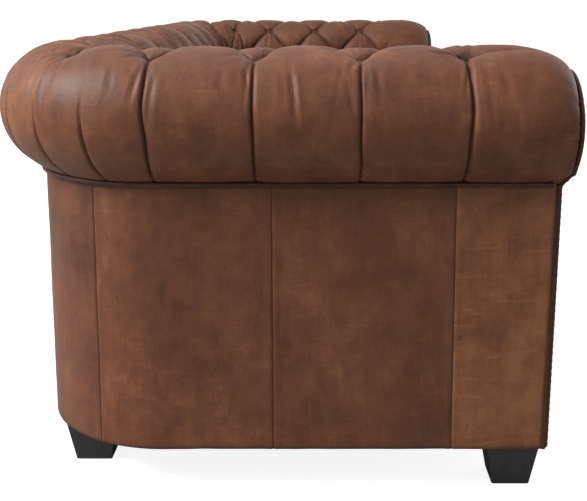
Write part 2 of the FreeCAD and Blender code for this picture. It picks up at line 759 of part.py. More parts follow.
def placed_on_wall(shape, s):
    """Moves a piece made at y = 0 of the left arm to distance s along the path."""
    origin, inwards = path_frame(s)
    moved = shape.copy()
    moved.translate(V(half_length, 0, 0))
    moved.rotate(V(0, 0, 0), UP, math.degrees(math.atan2(inwards.y, inwards.x)))
    moved.translate(origin)
    return moved


def mirror_shape(shape):
    return shape.mirror(V(0, 0, 0), V(1, 0, 0))


# Ribs of the back, as shares of half its straight length.
BACK_RIBS = (-1, -0.5, 0, 0.5, 1)


def wall_frame():
    made = []
    outline = wall_outline(board_section(), rail_p, body_z)
    board = Part.Face(outline).extrude(V(0, facing_front - scroll_back, 0))
    board.translate(V(0, -facing_front, 0))
    board = board.cut(in_front_of(size("facing_thickness") + gap))
    made.append(pair("front_scroll_boards", formed("left_scroll_board", board)))

    rib = rib_shape()
    thick = size("scroll_thickness")
    arm_start, arm_end = roll_front - scroll_back, straight_arm - thick
    middle = (arm_start + arm_end) / 2
    arm_ribs = [placed_on_wall(rib, s) for s in (middle, arm_end)]
    both = arm_ribs + [mirror_shape(piece) for piece in arm_ribs]
    made.append(formed("arm_ribs", Part.Compound(both)))
    back_ribs = []
    for share in BACK_RIBS:
        middle_x = share * (corner_x - thick / 2)
        piece = rib.copy()
        piece.translate(V(half_length, -thick / 2, 0))
        piece.rotate(V(0, 0, 0), UP, -90)
        piece.translate(V(middle_x, half_depth, 0))
        back_ribs.append(piece)
    made.append(formed("back_ribs", Part.Compound(back_ribs)))
    corner = rib.copy()
    corner.translate(V(half_length, -thick / 2, 0))
    corner.rotate(V(0, 0, 0), UP, -45)
    diagonal = size("corner_radius") * math.sqrt(0.5)
    corner.translate(V(-corner_x - diagonal, corner_y + diagonal, 0))

    # Slats run through the ribs' notches, and bent ones go round the corners.
    arm_slats, back_slats, bent = [], [], []
    for p, z, width, height in slat_boxes().values():
        arm = Part.makeBox(width, corner_y + scroll_back, height, V(-half_length + p, -scroll_back, z))
        arm_slats += [arm, mirror_shape(arm)]
        straight_start = V(-corner_x, half_depth - p - width, z)
        back_slats.append(Part.makeBox(2 * corner_x, width, height, straight_start))
        outer_radius = size("corner_radius") - p
        axis = V(-corner_x, corner_y, z)
        ring = Part.makeCylinder(outer_radius, height, axis, UP, 90)
        if outer_radius > width:
            ring = ring.cut(Part.makeCylinder(outer_radius - width, height, axis, UP, 90))
        ring.rotate(axis, UP, 90)
        corner = corner.cut(ring)
        bent += [ring, mirror_shape(ring)]
    behind_board = Part.makeCylinder(size("corner_radius") - rail_p, 2 * roll_z, V(-corner_x, corner_y, 0))
    corner = corner.common(behind_board)
    made.append(formed("corner_ribs", Part.Compound([corner, mirror_shape(corner)])))
    made.append(formed("arm_slats", Part.Compound(arm_slats)))
    made.append(formed("back_slats", Part.Compound(back_slats)))
    made.append(formed("corner_slats", Part.Compound(bent)))
    return made


# Webbing: elastic straps from the upper slat to the stay slat, behind the foam.
# A strap stops this share of the face short of the roll and of the face's foot.
STRAP_END = 0.01


def strap_shape():
    """One strap at y = 0 of the left arm, on the inside of the slats."""
    section = Section(0, size("pad_thickness") + gap / 2)
    back = Section(0, size("pad_thickness") + size("strap_thickness"))
    ends = (section.FACE_SHARES[0] + STRAP_END, 1 - STRAP_END)
    corners = [section.on_face(share, 0) for share in ends]
    corners += [back.on_face(share, 0) for share in ends[::-1]]
    points = [V(-half_length + p, 0, z) for p, z in corners]
    face = Part.Face(Part.makePolygon(points + points[:1]))
    return face.extrude(V(0, size("strap_width"), 0))


def webbing():
    strap = strap_shape()
    width, spacing = size("strap_width"), size("strap_pitch")
    room = straight_arm - (roll_front - scroll_back)
    count = max(int(room / spacing), 1)
    starts = [roll_front - scroll_back + (k + 0.5) * room / count - width / 2 for k in range(count)]
    arm = [placed_on_wall(strap, s) for s in starts]
    arm += [mirror_shape(piece) for piece in arm]
    back = []
    count = max(int(straight_back / spacing), 1)
    for k in range(count):
        piece = strap.copy()
        piece.translate(V(half_length, -width / 2, 0))
        piece.rotate(V(0, 0, 0), UP, -90)
        piece.translate(V(-corner_x + (k + 0.5) * straight_back / count, half_depth, 0))
        back.append(piece)
    return [formed("arm_webbing", Part.Compound(arm)), formed("back_webbing", Part.Compound(back))]


def border_box():
    """Left end, front, width and top of the padded leather over the front rail."""
    inner_p = Section(1, 2 * gap).on_face(1.0, 0)[0] + gap
    thick = size("border_thickness")
    high = wall_foot_z + size("deck_pad_thickness") + gap + size("cloth_thickness")
    return -half_length + inner_p, -(scroll_front + thick + gap), 2 * (half_length - inner_p), high


# Padding and buttoned leather, in three lengths: each arm with half its corner, and the back.
def upholstery():
    made = []
    split = along(split_column)
    leather = size("leather_thickness")
    front = in_front_of(size("facing_thickness") + gap)
    x, y, width, high = border_box()
    room = Part.makeBox(width + 2 * gap, size("border_thickness") + 2 * gap, high, V(x - gap, y - gap, gap))
    arm_cover = band(0, split, 0, leather, 1).cut(front).cut(room)
    arm_pad = band(0, split, leather + gap, size("pad_thickness"), 0).cut(front).cut(room)
    made += both_sides("tufted_leather", formed("tufted_leather_left", arm_cover))
    made += both_sides("arm_pad", formed("arm_pad_left", arm_pad))
    made.append(formed("tufted_leather_back", band(split, path_length - split, 0, leather, 1)))
    back_pad = band(split, path_length - split, leather + gap, size("pad_thickness"), 0)
    made.append(formed("back_pad", back_pad))
    return made


def dome_shape(radius, height):
    """A low dome on the plane z = 0."""
    ball_radius = (radius**2 + height**2) / (2 * height)
    ball = Part.makeSphere(ball_radius, V(0, 0, height - ball_radius))
    return ball.common(Part.makeCylinder(radius, 2 * height))


def button_shape():
    """A covered button along +Z: a dome on a cone that narrows to its twine in the leather."""
    radius, lift = size("button_radius"), size("button_lift")
    dome = dome_shape(radius, size("button_dome"))
    dome.translate(V(0, 0, lift))
    cone = Part.makeCone(size("button_shank"), radius, lift)
    return cone.fuse(dome).removeSplitter()


def button_places():
    """The column and row of each button. The inside of a corner is too tight for the last row."""
    for row in range(ROW_COUNT):
        shift = 0.5 * (row % 2)
        for number in range(columns + 1 - row % 2):
            column = number + shift
            if row < LAST_ROW or not in_corner(column):
                yield column, row


def buttons():
    shape = button_shape()
    found = {"left": [], "right": [], "back": []}
    section = Section(0, 0)
    for column, row in button_places():
        s = along(column)
        origin, inwards = path_frame(s)
        node = Section.ROWS.index(row)
        place = section.places()[node - 1]
        height = heights_at(s, section)[node] + size("button_seat")
        p, z = section.at(place, height)
        p_out, z_out = section.at(place, height + 1)
        direction = inwards * (p_out - p) + UP * (z_out - z)
        piece = shape.copy()
        piece.Placement = FreeCAD.Placement(origin + inwards * p + UP * z, FreeCAD.Rotation(UP, direction))
        side = "left" if column < split_column else "right" if column > columns - split_column else "back"
        found[side].append(piece)
    return [formed(f"buttons_{side}", Part.Compound(found[side])) for side in ("left", "right", "back")]


# Outside: bent plywood with leather panels over it, sewn edge to edge.
def plan_strip(p_outer, thickness, start, end):
    """A closed outline in plan of the outside strip between two distances along it, measured
    on its own outer line from the front of the left arm's panel."""
    radius = size("corner_radius") - p_outer
    straight = corner_y + facing_neck
    arc = radius * math.pi / 2

    def frame(t):
        if t <= straight:
            return V(-half_length + p_outer, t - facing_neck, 0), V(1, 0, 0)
        turn = min((t - straight) / radius, math.pi / 2)
        outwards = V(-math.cos(turn), math.sin(turn), 0)
        beyond = max(t - straight - arc, 0)
        return V(-corner_x + beyond, corner_y, 0) + outwards * radius, outwards * -1

    marks = [start]
    marks += [t for t in (straight, straight + arc) if start < t < end]
    marks.append(end)
    sides = ([], [])
    for a, b in zip(marks, marks[1:]):
        for depth, side in ((0, sides[0]), (thickness, sides[1])):
            places = [frame(t)[0] + frame(t)[1] * depth for t in (a, (a + b) / 2, b)]
            on_arc = straight - 0.001 <= a and b <= straight + arc + 0.001
            edge = Part.Arc(*places) if on_arc else Part.LineSegment(places[0], places[2])
            side.append(edge.toShape())
    ends = []
    for t in (start, end):
        at, inwards = frame(t)
        ends.append(Part.LineSegment(at, at + inwards * thickness).toShape())
    wire = Part.Wire(Part.__sortEdges__(sides[0] + sides[1] + ends))
    return Part.Face(wire)


def outside_strip(p_outer, thickness, start, end, low, high):
    face = plan_strip(p_outer, thickness, start, end)
    face.translate(V(0, 0, low))
    return face.extrude(V(0, 0, high - low))


def outside():
    made = []
    leather, board = size("leather_thickness"), size("board_thickness")
    low, high = size("foot_height"), under_roll - gap
    radius = size("corner_radius") - size("roll_overhang")
    straight = corner_y + facing_neck
    # The strip's first millimetres lie behind the facing, whose back edge trims them.
    front = in_front_of(size("facing_thickness") + gap)
    seams = [0, size("front_panel_width")]
    while seams[-1] + size("panel_width") < straight + radius * math.pi / 2:
        seams.append(seams[-1] + size("panel_width"))
    back_start = straight + radius * math.pi / 2
    seams.append(back_start)
    panels = [
        outside_strip(size("roll_overhang"), leather, a, b, low, high).cut(front)
        for a, b in zip(seams, seams[1:])
    ]
    made += both_sides("outside_leather", formed("outside_leather_left", Part.Compound(panels)))
    count = max(round(2 * corner_x / size("panel_width")), 1)
    width = 2 * corner_x / count
    back = [
        Part.makeBox(width, leather, high - low,
                     V(-corner_x + k * width, half_depth - size("roll_overhang") - leather, low))
        for k in range(count)
    ]
    made.append(formed("outside_leather_back", Part.Compound(back)))
    board_radius = size("corner_radius") - board_p
    ply = outside_strip(board_p, board, 0, straight + board_radius * math.pi / 2, body_z, high).cut(front)
    made += both_sides("outside_board", formed("outside_board_left", ply))
    made.append(box(
        "outside_board_back",
        (f"-{CORNER_X}", f"{HALF_DEPTH} - {BOARD_P} - dims.board_thickness", BODY_Z),
        (f"2*{CORNER_X}", "dims.board_thickness",
         f"{UNDER_ROLL} - dims.fit_gap - {BODY_Z}"),
    ))
    return made


def welt():
    """Piping tucked under the roll, along the top edge of the outside panels."""
    radius = size("piping_radius")
    p = size("roll_overhang") - radius - gap
    z = under_roll - radius
    start = V(-half_length + p, -facing_neck + size("facing_thickness"), z)
    bend = size("corner_radius") - p
    left_end = V(-half_length + p, corner_y, z)
    back_left = V(-corner_x, corner_y + bend, z)
    middle = V(-corner_x - bend * math.sqrt(0.5), corner_y + bend * math.sqrt(0.5), z)

    def flip(point):
        return V(-point.x, point.y, point.z)

    path = Part.Wire([
        Part.LineSegment(start, left_end).toShape(),
        Part.Arc(left_end, middle, back_left).toShape(),
        Part.LineSegment(back_left, flip(back_left)).toShape(),
        Part.Arc(flip(back_left), flip(middle), flip(left_end)).toShape(),
        Part.LineSegment(flip(left_end), flip(start)).toShape(),
    ])
    ring = Part.Wire([Part.Circle(start, V(0, 1, 0), radius).toShape()])
    return [formed("roll_welt", path.makePipeShell([ring], True, False))]


# Facings: a padded panel on each scroll board, with piping behind its edge and nails round it.
def nail_seat(z):
    """A nail's y and its slope at a height, where its flat back clears the bends of the neck."""
    radius = size("nail_radius")
    slope = (facing_surface(z + radius) - facing_surface(z - radius)) / (2 * radius)
    heights = [z - radius, z, z + radius]
    heights += [point.z for point in facing_polygon(0) if abs(point.z - z) < radius]
    return min(facing_surface(at) - slope * (at - z) for at in heights), slope


def facing():
    made = []
    section = Section(1, 2 * gap)
    outline = Part.Face(wall_outline(section, size("roll_overhang"), size("foot_height")))
    solid = outline.extrude(V(0, 2 * size("facing_step") + 2 * size("facing_thickness"), 0))
    solid.translate(V(0, -facing_front, 0))
    panel = solid.cut(in_front_of(0)).common(in_front_of(size("facing_thickness")))
    made += both_sides("facing_panel", formed("facing_panel_left", panel))

    # Nails follow the outline, set in from its edge.
    inset = size("nail_inset")
    rim = wall_outline(
        Section(1, 2 * gap + inset), size("roll_overhang") + inset, size("foot_height") + inset
    )
    count = max(round(rim.Length / size("nail_pitch")), 3)
    dome = dome_shape(size("nail_radius"), size("nail_dome"))
    nails = []
    for point in rim.discretize(Number=count + 1)[:-1]:
        y, slope = nail_seat(point.z)
        turn = FreeCAD.Rotation(UP, V(0, -1, slope))
        piece = dome.copy()
        piece.Placement = FreeCAD.Placement(V(point.x, y, point.z), turn)
        nails.append(piece)
    made.append(pair("facing_nails", formed("left_nails", Part.Compound(nails))))
    made.append(pair("facing_piping", formed("left_facing_cord", facing_cord())))
    return made


def facing_cord():
    """Piping against the edge of the facing, from where its outline leaves the round of the roll,
    or steps back, to the inside face."""
    radius = size("facing_piping_radius")
    section = Section(1, -radius)
    y = -(facing_front - radius)
    drop = min((section.centre_z - neck_top) / section.radius, 1)
    start_angle = min(180 + math.degrees(math.asin(drop)), Section.ROLL_ANGLES[0])
    end_angle = math.degrees(section.face_angle)
    places = []
    for degrees in (start_angle, (start_angle + end_angle) / 2, end_angle):
        p, z = section.on_roll(degrees, 0)
        places.append(V(-half_length + p, y, z))
    path = Part.Wire([Part.Arc(*places).toShape()])
    towards = path.Edges[0].tangentAt(path.Edges[0].FirstParameter)
    ring = Part.Wire([Part.Circle(places[0], towards, radius).toShape()])
    return path.makePipeShell([ring], True, False)


# Seat: zigzag springs in clips, a felt deck under platform cloth, a front edge roll and border.
def zigzag(x, start_y, end_y, z):
    """A spring wire from front to back: straight runs across, joined by half-round loops."""
    loop, half = size("spring_loop"), size("spring_width") / 2 - size("spring_loop")
    runs = max(int((end_y - start_y) / (2 * loop)), 1)
    first_y = (start_y + end_y) / 2 - runs * loop
    edges = []
    for k in range(runs + 1):
        side = 1 if k % 2 == 0 else -1
        y = first_y + 2 * loop * k
        edges.append(Part.LineSegment(V(x - side * half, y, z), V(x + side * half, y, z)).toShape())
        if k < runs:
            edges.append(Part.Arc(
                V(x + side * half, y, z), V(x + side * (half + loop), y + loop, z),
                V(x + side * half, y + 2 * loop, z),
            ).toShape())
    wire = Part.Wire(edges)
    ring = Part.Wire([Part.Circle(V(x - half, first_y, z), V(1, 0, 0), size("spring_wire")).toShape()])
    return wire.makePipeShell([ring], True, False), first_y, first_y + 2 * loop * runs


def clip_shape(x, y, z):
    """A bent steel clip over the end of a spring, on the rail."""
    width, length, thick = size("clip_width"), size("clip_length"), size("clip_thickness")
    wire = size("spring_wire") + gap / 2
    corner = V(x - width / 2, y - length / 2, z - wire - thick)
    outer = Part.makeBox(width, length, 2 * (wire + thick), corner)
    inside_corner = corner + V(-width / 2, thick, thick)
    return outer.cut(Part.makeBox(2 * width, length, 2 * wire, inside_corner))


def seat():
    made = []
    clear = wall_width + size("crown_height") + gap
    seat_half = half_length - clear
    rail = size("rail_thickness")
    front_y = -scroll_front + rail / 2
    back_y = half_depth - wall_width + rail / 2
    count = int(size("spring_count"))
    spacing = 2 * seat_half / count
    springs, clips = [], []
    for k in range(count):
        x = -seat_half + (k + 0.5) * spacing
        wire, first_y, last_y = zigzag(x, front_y, back_y, spring_z)
        springs.append(wire)
        clips += [clip_shape(x, y, spring_z) for y in (first_y, last_y)]
    made.append(formed("seat_springs", Part.Compound(springs)))
    made.append(formed("spring_clips", Part.Compound(clips)))

    # The foam roll on the front rail, the deck pad behind it and the cloth on the pad.
    edge_back = -scroll_front + size("edge_roll_depth")
    deck_front = edge_back + gap
    deck_depth = half_depth - clear - deck_front
    pad_high = wall_foot_z + size("deck_pad_thickness")
    corner = V(-seat_half, deck_front, wall_foot_z)
    pad = Part.makeBox(2 * seat_half, deck_depth, size("deck_pad_thickness"), corner)
    made.append(formed("deck_pad", pad))
    corner = V(-seat_half, deck_front, pad_high + gap)
    cloth = Part.makeBox(2 * seat_half, deck_depth, size("cloth_thickness"), corner)
    made.append(formed("deck_cloth", cloth))
    high = pad_high + gap + size("cloth_thickness")
    bevel = size("edge_roll_bevel")
    corners = [
        V(0, -scroll_front, wall_foot_z), V(0, edge_back, wall_foot_z), V(0, edge_back, high),
        V(0, -scroll_front + bevel, high), V(0, -scroll_front, high - bevel),
    ]
    made.append(formed("front_edge_roll", prism_along_x(corners, -seat_half, 2 * seat_half)))
    return made, high


# A rounding is at most this share of the thickness it is on.
LARGEST_ROUNDING = 0.48


def front_border():
    """Padded leather over the front rail, between the facings, with its long front edges rounded."""
    x, y, width, high = border_box()
    thick = size("border_thickness")
    panel = Part.makeBox(width, thick, high - size("foot_height"), V(x, y, size("foot_height")))
    long_edges = [
        edge for edge in panel.Edges
        if abs(edge.Vertexes[0].X - edge.Vertexes[1].X) > width / 2
        and max(vertex.Y for vertex in edge.Vertexes) < y + thick / 2
    ]
    rounding = min(size("border_rounding"), thick * LARGEST_ROUNDING)
    return [formed("front_border", panel.makeFillet(rounding, long_edges))]


# Cushions: a piped leather cover with a crowned top, over a foam core. On the way to the
# middle of the crown, the corners grow and the sides lose their draw, at these rates.
CORNER_GROWTH = 1.5
DRAW_LOSS = 1.6
LEAST_DRAW = 0.02
# A corner takes up at most this share of half a side.
LARGEST_CORNER = 0.83

# Rise above the piping, as a share of the crown, and distance in from it, as a share of half
# the cushion's width: of the top, from its piping to its middle, and of the underside.
TOP_CROWN = [(0, 0), (0.45, 0.105), (0.8, 0.315), (1, 0.606)]
UNDER_CROWN = [(0, 0), (0.65, 0.097), (1, 0.283)]


def drawn_rectangle(centre, width, depth, z, inset):
    """A plan outline whose four sides pull in between rounded corners, in one smooth line. The
    further in it lies on the crown, the rounder it is and the less its sides pull in."""
    towards_middle = max(inset, 0) / (width / 2)
    radius = size("cushion_corner") * (1 + CORNER_GROWTH * towards_middle)
    radius = min(radius, LARGEST_CORNER * (min(width, depth) / 2 - inset))
    draw = size("cushion_draw") * max(1 - DRAW_LOSS * towards_middle, LEAST_DRAW)
    reach_x, reach_y = width / 2 - inset - radius, depth / 2 - inset - radius

    def side_radius(reach):
        # The side's arc touches both corner arcs from outside and stands draw inside their line.
        return (reach**2 + (radius - draw) ** 2 - radius**2) / (2 * draw)

    def touch(sign_x, sign_y, reach, horizontal):
        lift = radius - draw + side_radius(reach)
        across, along_side = (-reach, lift) if horizontal else (lift, -reach)
        towards = V(sign_x * across, sign_y * along_side, 0)
        towards.normalize()
        return V(sign_x * reach_x, sign_y * reach_y, 0) + towards * radius

    corners = [(1, -1), (1, 1), (-1, 1), (-1, -1)]
    edges = []
    for k, (sign_x, sign_y) in enumerate(corners):
        on_flat = touch(sign_x, sign_y, reach_x, True)
        on_side = touch(sign_x, sign_y, reach_y, False)
        diagonal = V(sign_x, sign_y, 0) * (radius * math.sqrt(0.5))
        middle = V(sign_x * reach_x, sign_y * reach_y, 0) + diagonal
        first, last = (on_flat, on_side) if k % 2 == 0 else (on_side, on_flat)
        edges.append(Part.Arc(first, middle, last).toShape())
        next_x, next_y = corners[(k + 1) % 4]
        if k % 2 == 0:
            after = touch(next_x, next_y, reach_y, False)
            between = V(sign_x * (reach_x + radius - draw), 0, 0)
        else:
            after = touch(next_x, next_y, reach_x, True)
            between = V(0, sign_y * (reach_y + radius - draw), 0)
        edges.append(Part.Arc(last, between, after).toShape())
    wire = Part.Wire(edges)
    wire.translate(V(centre[0], centre[1], z))
    return wire


def cushion_loft(place, extent, low, inset):
    """A crowned cushion: a side band between two piped edges, domed above and below."""
    width, depth = extent
    side, crown, sag = size("cushion_side"), size("cushion_crown"), size("cushion_sag")
    seam_low, seam_high = low + sag, low + sag + side
    levels = []
    for rise, distance in UNDER_CROWN[::-1]:
        thickness = inset if rise else inset / 2
        levels.append((seam_low - rise * sag + thickness, distance * width / 2))
    levels.append((seam_low + side / 2, -size("cushion_bulge")))
    for rise, distance in TOP_CROWN:
        thickness = inset if rise else inset / 2
        levels.append((seam_high + rise * crown - thickness, distance * width / 2))
    wires = [drawn_rectangle(place, width, depth, z, extra + inset) for z, extra in levels]
    return Part.makeLoft(wires, True, True), seam_low, seam_high


def cushions(deck_top):
    made = []
    count = int(size("cushion_count"))
    spread = size("cushion_gap")
    seat_half = half_length - wall_width - spread
    front_y = -(facing_front - size("cushion_setback"))
    back_y = half_depth - wall_width - spread
    pitch_x = 2 * seat_half / count
    names = ["left", "centre", "right"] if count == 3 else [f"number_{k + 1}" for k in range(count)]
    low = deck_top + gap
    leather, piping = size("leather_thickness"), size("piping_radius")
    margin = piping + size("cushion_bulge") + spread
    for k in range(count):
        place = (-seat_half + (k + 0.5) * pitch_x, (front_y + back_y) / 2)
        extent = (pitch_x - 2 * margin, back_y - front_y - 2 * margin)
        outside_form, seam_low, seam_high = cushion_loft(place, extent, low, 0)
        inside_form, _, _ = cushion_loft(place, extent, low, leather)
        core, _, _ = cushion_loft(place, extent, low, leather + gap)
        cover = outside_form.cut(inside_form)
        cords = []
        for z in (seam_low, seam_high):
            line = drawn_rectangle(place, extent[0], extent[1], z, -piping - gap)
            start = line.Edges[0].Vertexes[0].Point
            tangent = line.Edges[0].tangentAt(line.Edges[0].FirstParameter)
            ring = Part.Wire([Part.Circle(start, tangent, piping).toShape()])
            cords.append(line.makePipeShell([ring], True, False))
        made.append(formed(f"cushion_cover_{names[k]}", cover))
        made.append(formed(f"cushion_piping_{names[k]}", Part.Compound(cords)))
        made.append(formed(f"cushion_core_{names[k]}", core))
    return made


# Dust cover under the frame, holed for the foot bolts.
def dust_cover():
    section_half = half_length - rail_p
    arc = size("corner_radius") - rail_p
    front_y = -scroll_front
    points = [V(-section_half, front_y, 0), V(section_half, front_y, 0), V(section_half, corner_y, 0)]
    right_middle = V(corner_x + arc * math.sqrt(0.5), corner_y + arc * math.sqrt(0.5), 0)
    edges = [
        Part.LineSegment(points[0], points[1]).toShape(),
        Part.LineSegment(points[1], points[2]).toShape(),
        Part.Arc(points[2], right_middle, V(corner_x, corner_y + arc, 0)).toShape(),
        Part.LineSegment(V(corner_x, corner_y + arc, 0), V(-corner_x, corner_y + arc, 0)).toShape(),
        Part.Arc(V(-corner_x, corner_y + arc, 0), V(-right_middle.x, right_middle.y, 0),
                 V(-section_half, corner_y, 0)).toShape(),
        Part.LineSegment(V(-section_half, corner_y, 0), points[0]).toShape(),
    ]
    face = Part.Face(Part.Wire(edges))
    face.translate(V(0, 0, size("foot_height")))
    sheet_solid = face.extrude(V(0, 0, size("cloth_thickness")))
    for side in (-1, 1):
        for inset_x, y in (
            ("front_foot_inset_side", -half_depth + size("front_foot_inset")),
            ("rear_foot_inset_side", half_depth - size("rear_foot_inset")),
        ):
            foot = V(side * (half_length - size(inset_x)), y, size("foot_height") - CUT_MARGIN)
            hole = Part.makeCylinder(size("bolt_radius") + gap, 2 * CUT_MARGIN, foot)
            sheet_solid = sheet_solid.cut(hole)
    return [formed("dust_cover", sheet_solid)]


def main():
    nodes = seat_frame() + feet() + wall_frame() + webbing() + upholstery() + buttons()
    nodes += outside() + welt() + facing()
    seat_nodes, deck_top = seat()
    nodes += seat_nodes + front_border() + cushions(deck_top) + dust_cover()
    doc.recompute()
    for obj in doc.Objects:
        if "Invalid" in obj.State or "Error" in obj.State:
            raise RuntimeError(f"{obj.Name} failed: {obj.State}")
    shapes = {node.Label: node.Shape for node in nodes}
    broken = [name for name, shape in shapes.items() if shape.isNull() or not shape.isValid()]
    broken += [name for name, shape in shapes.items() if name not in broken and not shape.Solids]
    if broken:
        raise RuntimeError(f"no valid solid: {broken}")
    os.makedirs("parts", exist_ok=True)
    for node in nodes:
        node.Shape.exportStep(f"parts/{node.Label}.step")


main()
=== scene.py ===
import math

import bmesh
import bpy
import numpy as np
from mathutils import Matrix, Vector


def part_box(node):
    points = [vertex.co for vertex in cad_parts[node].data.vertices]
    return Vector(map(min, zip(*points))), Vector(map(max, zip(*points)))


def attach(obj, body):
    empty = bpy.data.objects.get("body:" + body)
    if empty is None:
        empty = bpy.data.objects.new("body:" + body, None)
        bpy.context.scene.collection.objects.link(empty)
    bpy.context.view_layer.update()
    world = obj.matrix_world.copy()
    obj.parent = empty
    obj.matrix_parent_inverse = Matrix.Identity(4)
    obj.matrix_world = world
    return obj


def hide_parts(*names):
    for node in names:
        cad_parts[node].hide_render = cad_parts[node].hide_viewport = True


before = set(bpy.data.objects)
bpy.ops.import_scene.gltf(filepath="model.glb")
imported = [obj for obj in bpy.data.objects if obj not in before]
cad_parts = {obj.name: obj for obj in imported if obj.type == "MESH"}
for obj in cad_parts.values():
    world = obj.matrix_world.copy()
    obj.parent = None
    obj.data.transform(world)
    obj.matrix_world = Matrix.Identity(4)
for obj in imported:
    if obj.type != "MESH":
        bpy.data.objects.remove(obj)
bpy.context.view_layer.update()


# Timber. Planed hardwood rails, stretchers, foot blocks and slats, and sawn plywood scroll boards,
# ribs and bent outside boards, glued and screwed. The upholstery covers all of it.
def place(tree, kind, inputs=(), **settings):
    """Adds a node. Its inputs go by name or number, and are values or other nodes' outputs."""
    made = tree.nodes.new(kind)
    for name, value in settings.items():
        setattr(made, name, value)
    for name, value in dict(inputs).items():
        if isinstance(value, bpy.types.NodeSocket):
            tree.links.new(value, made.inputs[name])
        else:
            made.inputs[name].default_value = value
    return made


def sums(tree, operation, first, second=0.0, third=0.0):
    """The result of a sum on two or three values."""
    inputs = {0: first, 1: second, 2: third}
    return place(tree, "ShaderNodeMath", inputs, operation=operation).outputs[0]


def noise(tree, where, scale, detail=3.0, roughness=0.5, distortion=0.0):
    inputs = {"Vector": where, "Scale": scale, "Detail": detail, "Roughness": roughness,
              "Distortion": distortion}
    return place(tree, "ShaderNodeTexNoise", inputs).outputs["Fac"]


def stretched(tree, where, scale):
    return place(tree, "ShaderNodeMapping", {"Vector": where, "Scale": scale}).outputs["Vector"]


def ramp(tree, factor, stops):
    """A colour ramp through stops of a position and a linear colour."""
    made = place(tree, "ShaderNodeValToRGB", {"Fac": factor})
    elements = made.color_ramp.elements
    elements.remove(elements[1])
    elements[0].position = stops[0][0]
    elements[0].color = (*stops[0][1], 1)
    for position, colour in stops[1:]:
        elements.new(position).color = (*colour, 1)
    return made.outputs["Color"]


def rough_between(tree, factor, low, high):
    inputs = {"Value": factor, "To Min": low, "To Max": high}
    return place(tree, "ShaderNodeMapRange", inputs).outputs["Result"]


def bump(tree, height, distance, strength=1.0):
    inputs = {"Height": height, "Distance": distance, "Strength": strength}
    return place(tree, "ShaderNodeBump", inputs).outputs["Normal"]


def shade(red, green, blue):
    """A colour given as it looks on a screen, 0 to 255, in the linear light that shaders use."""
    values = (red / 255, green / 255, blue / 255)
    return tuple(v / 12.92 if v < 0.04045 else ((v + 0.055) / 1.055) ** 2.4 for v in values)


def new_finish(name):
    """A material with an empty shader, and the place on its surface."""
    finish = bpy.data.materials.new(name)
    finish.use_nodes = True
    tree = finish.node_tree
    tree.nodes.clear()
    shader = place(tree, "ShaderNodeBsdfPrincipled")
    place(tree, "ShaderNodeOutputMaterial", {"Surface": shader.outputs["BSDF"]})
    where = place(tree, "ShaderNodeTexCoord").outputs["Object"]
    return finish, tree, shader, where


def feed(tree, shader, colour, roughness, normal=None):
    tree.links.new(colour, shader.inputs["Base Color"])
    tree.links.new(roughness, shader.inputs["Roughness"])
    if normal is not None:
        tree.links.new(normal, shader.inputs["Normal"])


def feed_tones(tree, shader, pattern, stops, rough, *relief):
    """Feeds a shader from one pattern: its stops of colour, the two ends of its roughness, and
    the distance and strength of its bump, if it has one."""
    normal = bump(tree, pattern, *relief) if relief else None
    feed(tree, shader, ramp(tree, pattern, stops), rough_between(tree, pattern, *rough), normal)


def timber_finish(name, dark, pale, along):
    """Wood whose grain runs along the axis with the small number."""
    finish, tree, shader, where = new_finish(name)
    bands = noise(tree, stretched(tree, where, along), 22, 5, 0.62, 1.4)
    pores = noise(tree, stretched(tree, where, along), 260, 2, 0.5)
    grain = sums(tree, "MULTIPLY_ADD", pores, 0.3, sums(tree, "MULTIPLY", bands, 0.7))
    feed_tones(tree, shader, grain, [(0.35, dark), (0.65, pale)], (0.75, 0.5), 0.0004)
    return finish


def dress(finish, *nodes):
    """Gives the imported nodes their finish."""
    for name in nodes:
        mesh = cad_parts[name].data
        mesh.materials.clear()
        mesh.materials.append(finish)


beech_dark, beech_pale = shade(168, 128, 86), shade(214, 182, 138)
dress(timber_finish("beech_across", beech_dark, beech_pale, (0.07, 1, 1)),
      "front_seat_rail", "back_seat_rail", "spring_rail", "back_slats", "corner_slats", "foot_blocks")
dress(timber_finish("beech_endways", beech_dark, beech_pale, (1, 0.07, 1)),
      "side_seat_rails", "rear_corner_rails", "seat_stretchers", "arm_slats")
dress(timber_finish("birch_plywood", shade(186, 152, 108), shade(226, 200, 158), (1, 1, 0.12)),
      "front_scroll_boards", "arm_ribs", "back_ribs", "corner_ribs",
      "outside_board_left", "outside_board_right", "outside_board_back")


# Feet. Tapered hardwood blocks, stained near black under a satin lacquer that lets a little of
# the grain through, each on a hanger bolt with a felt glide under it.
finish, tree, shader, where = new_finish("black_stained_wood")
grain = noise(tree, stretched(tree, where, (1, 1, 0.08)), 190, 4, 0.6, 0.8)
scuffs = noise(tree, where, 34, 5, 0.65)
feed(tree, shader, ramp(tree, grain, [(0.3, shade(22, 19, 22)), (0.72, shade(40, 35, 39))]),
     rough_between(tree, scuffs, 0.28, 0.52), bump(tree, grain, 0.00025, 0.6))
dress(finish, "foot_front_left", "foot_front_right", "foot_rear_left", "foot_rear_right")

finish, tree, shader, where = new_finish("grey_felt")
feed_tones(tree, shader, noise(tree, where, 900, 4, 0.8),
           [(0.3, shade(70, 66, 62)), (0.7, shade(112, 106, 100))], (0.9, 1.0), 0.0008)
dress(finish, "foot_glides")


# Fittings. Zinc-plated hanger bolts and tee nuts, and oil-tempered zigzag springs held in bent
# steel clips on the front rail and the spring rail.
def steel_finish(name, dark, pale, *rough):
    finish, tree, shader, where = new_finish(name)
    drawn = noise(tree, where, 120, 5, 0.65)
    feed_tones(tree, shader, drawn, [(0.3, dark), (0.7, pale)], rough, 0.0001, 0.5)
    shader.inputs["Metallic"].default_value = 1.0
    return finish


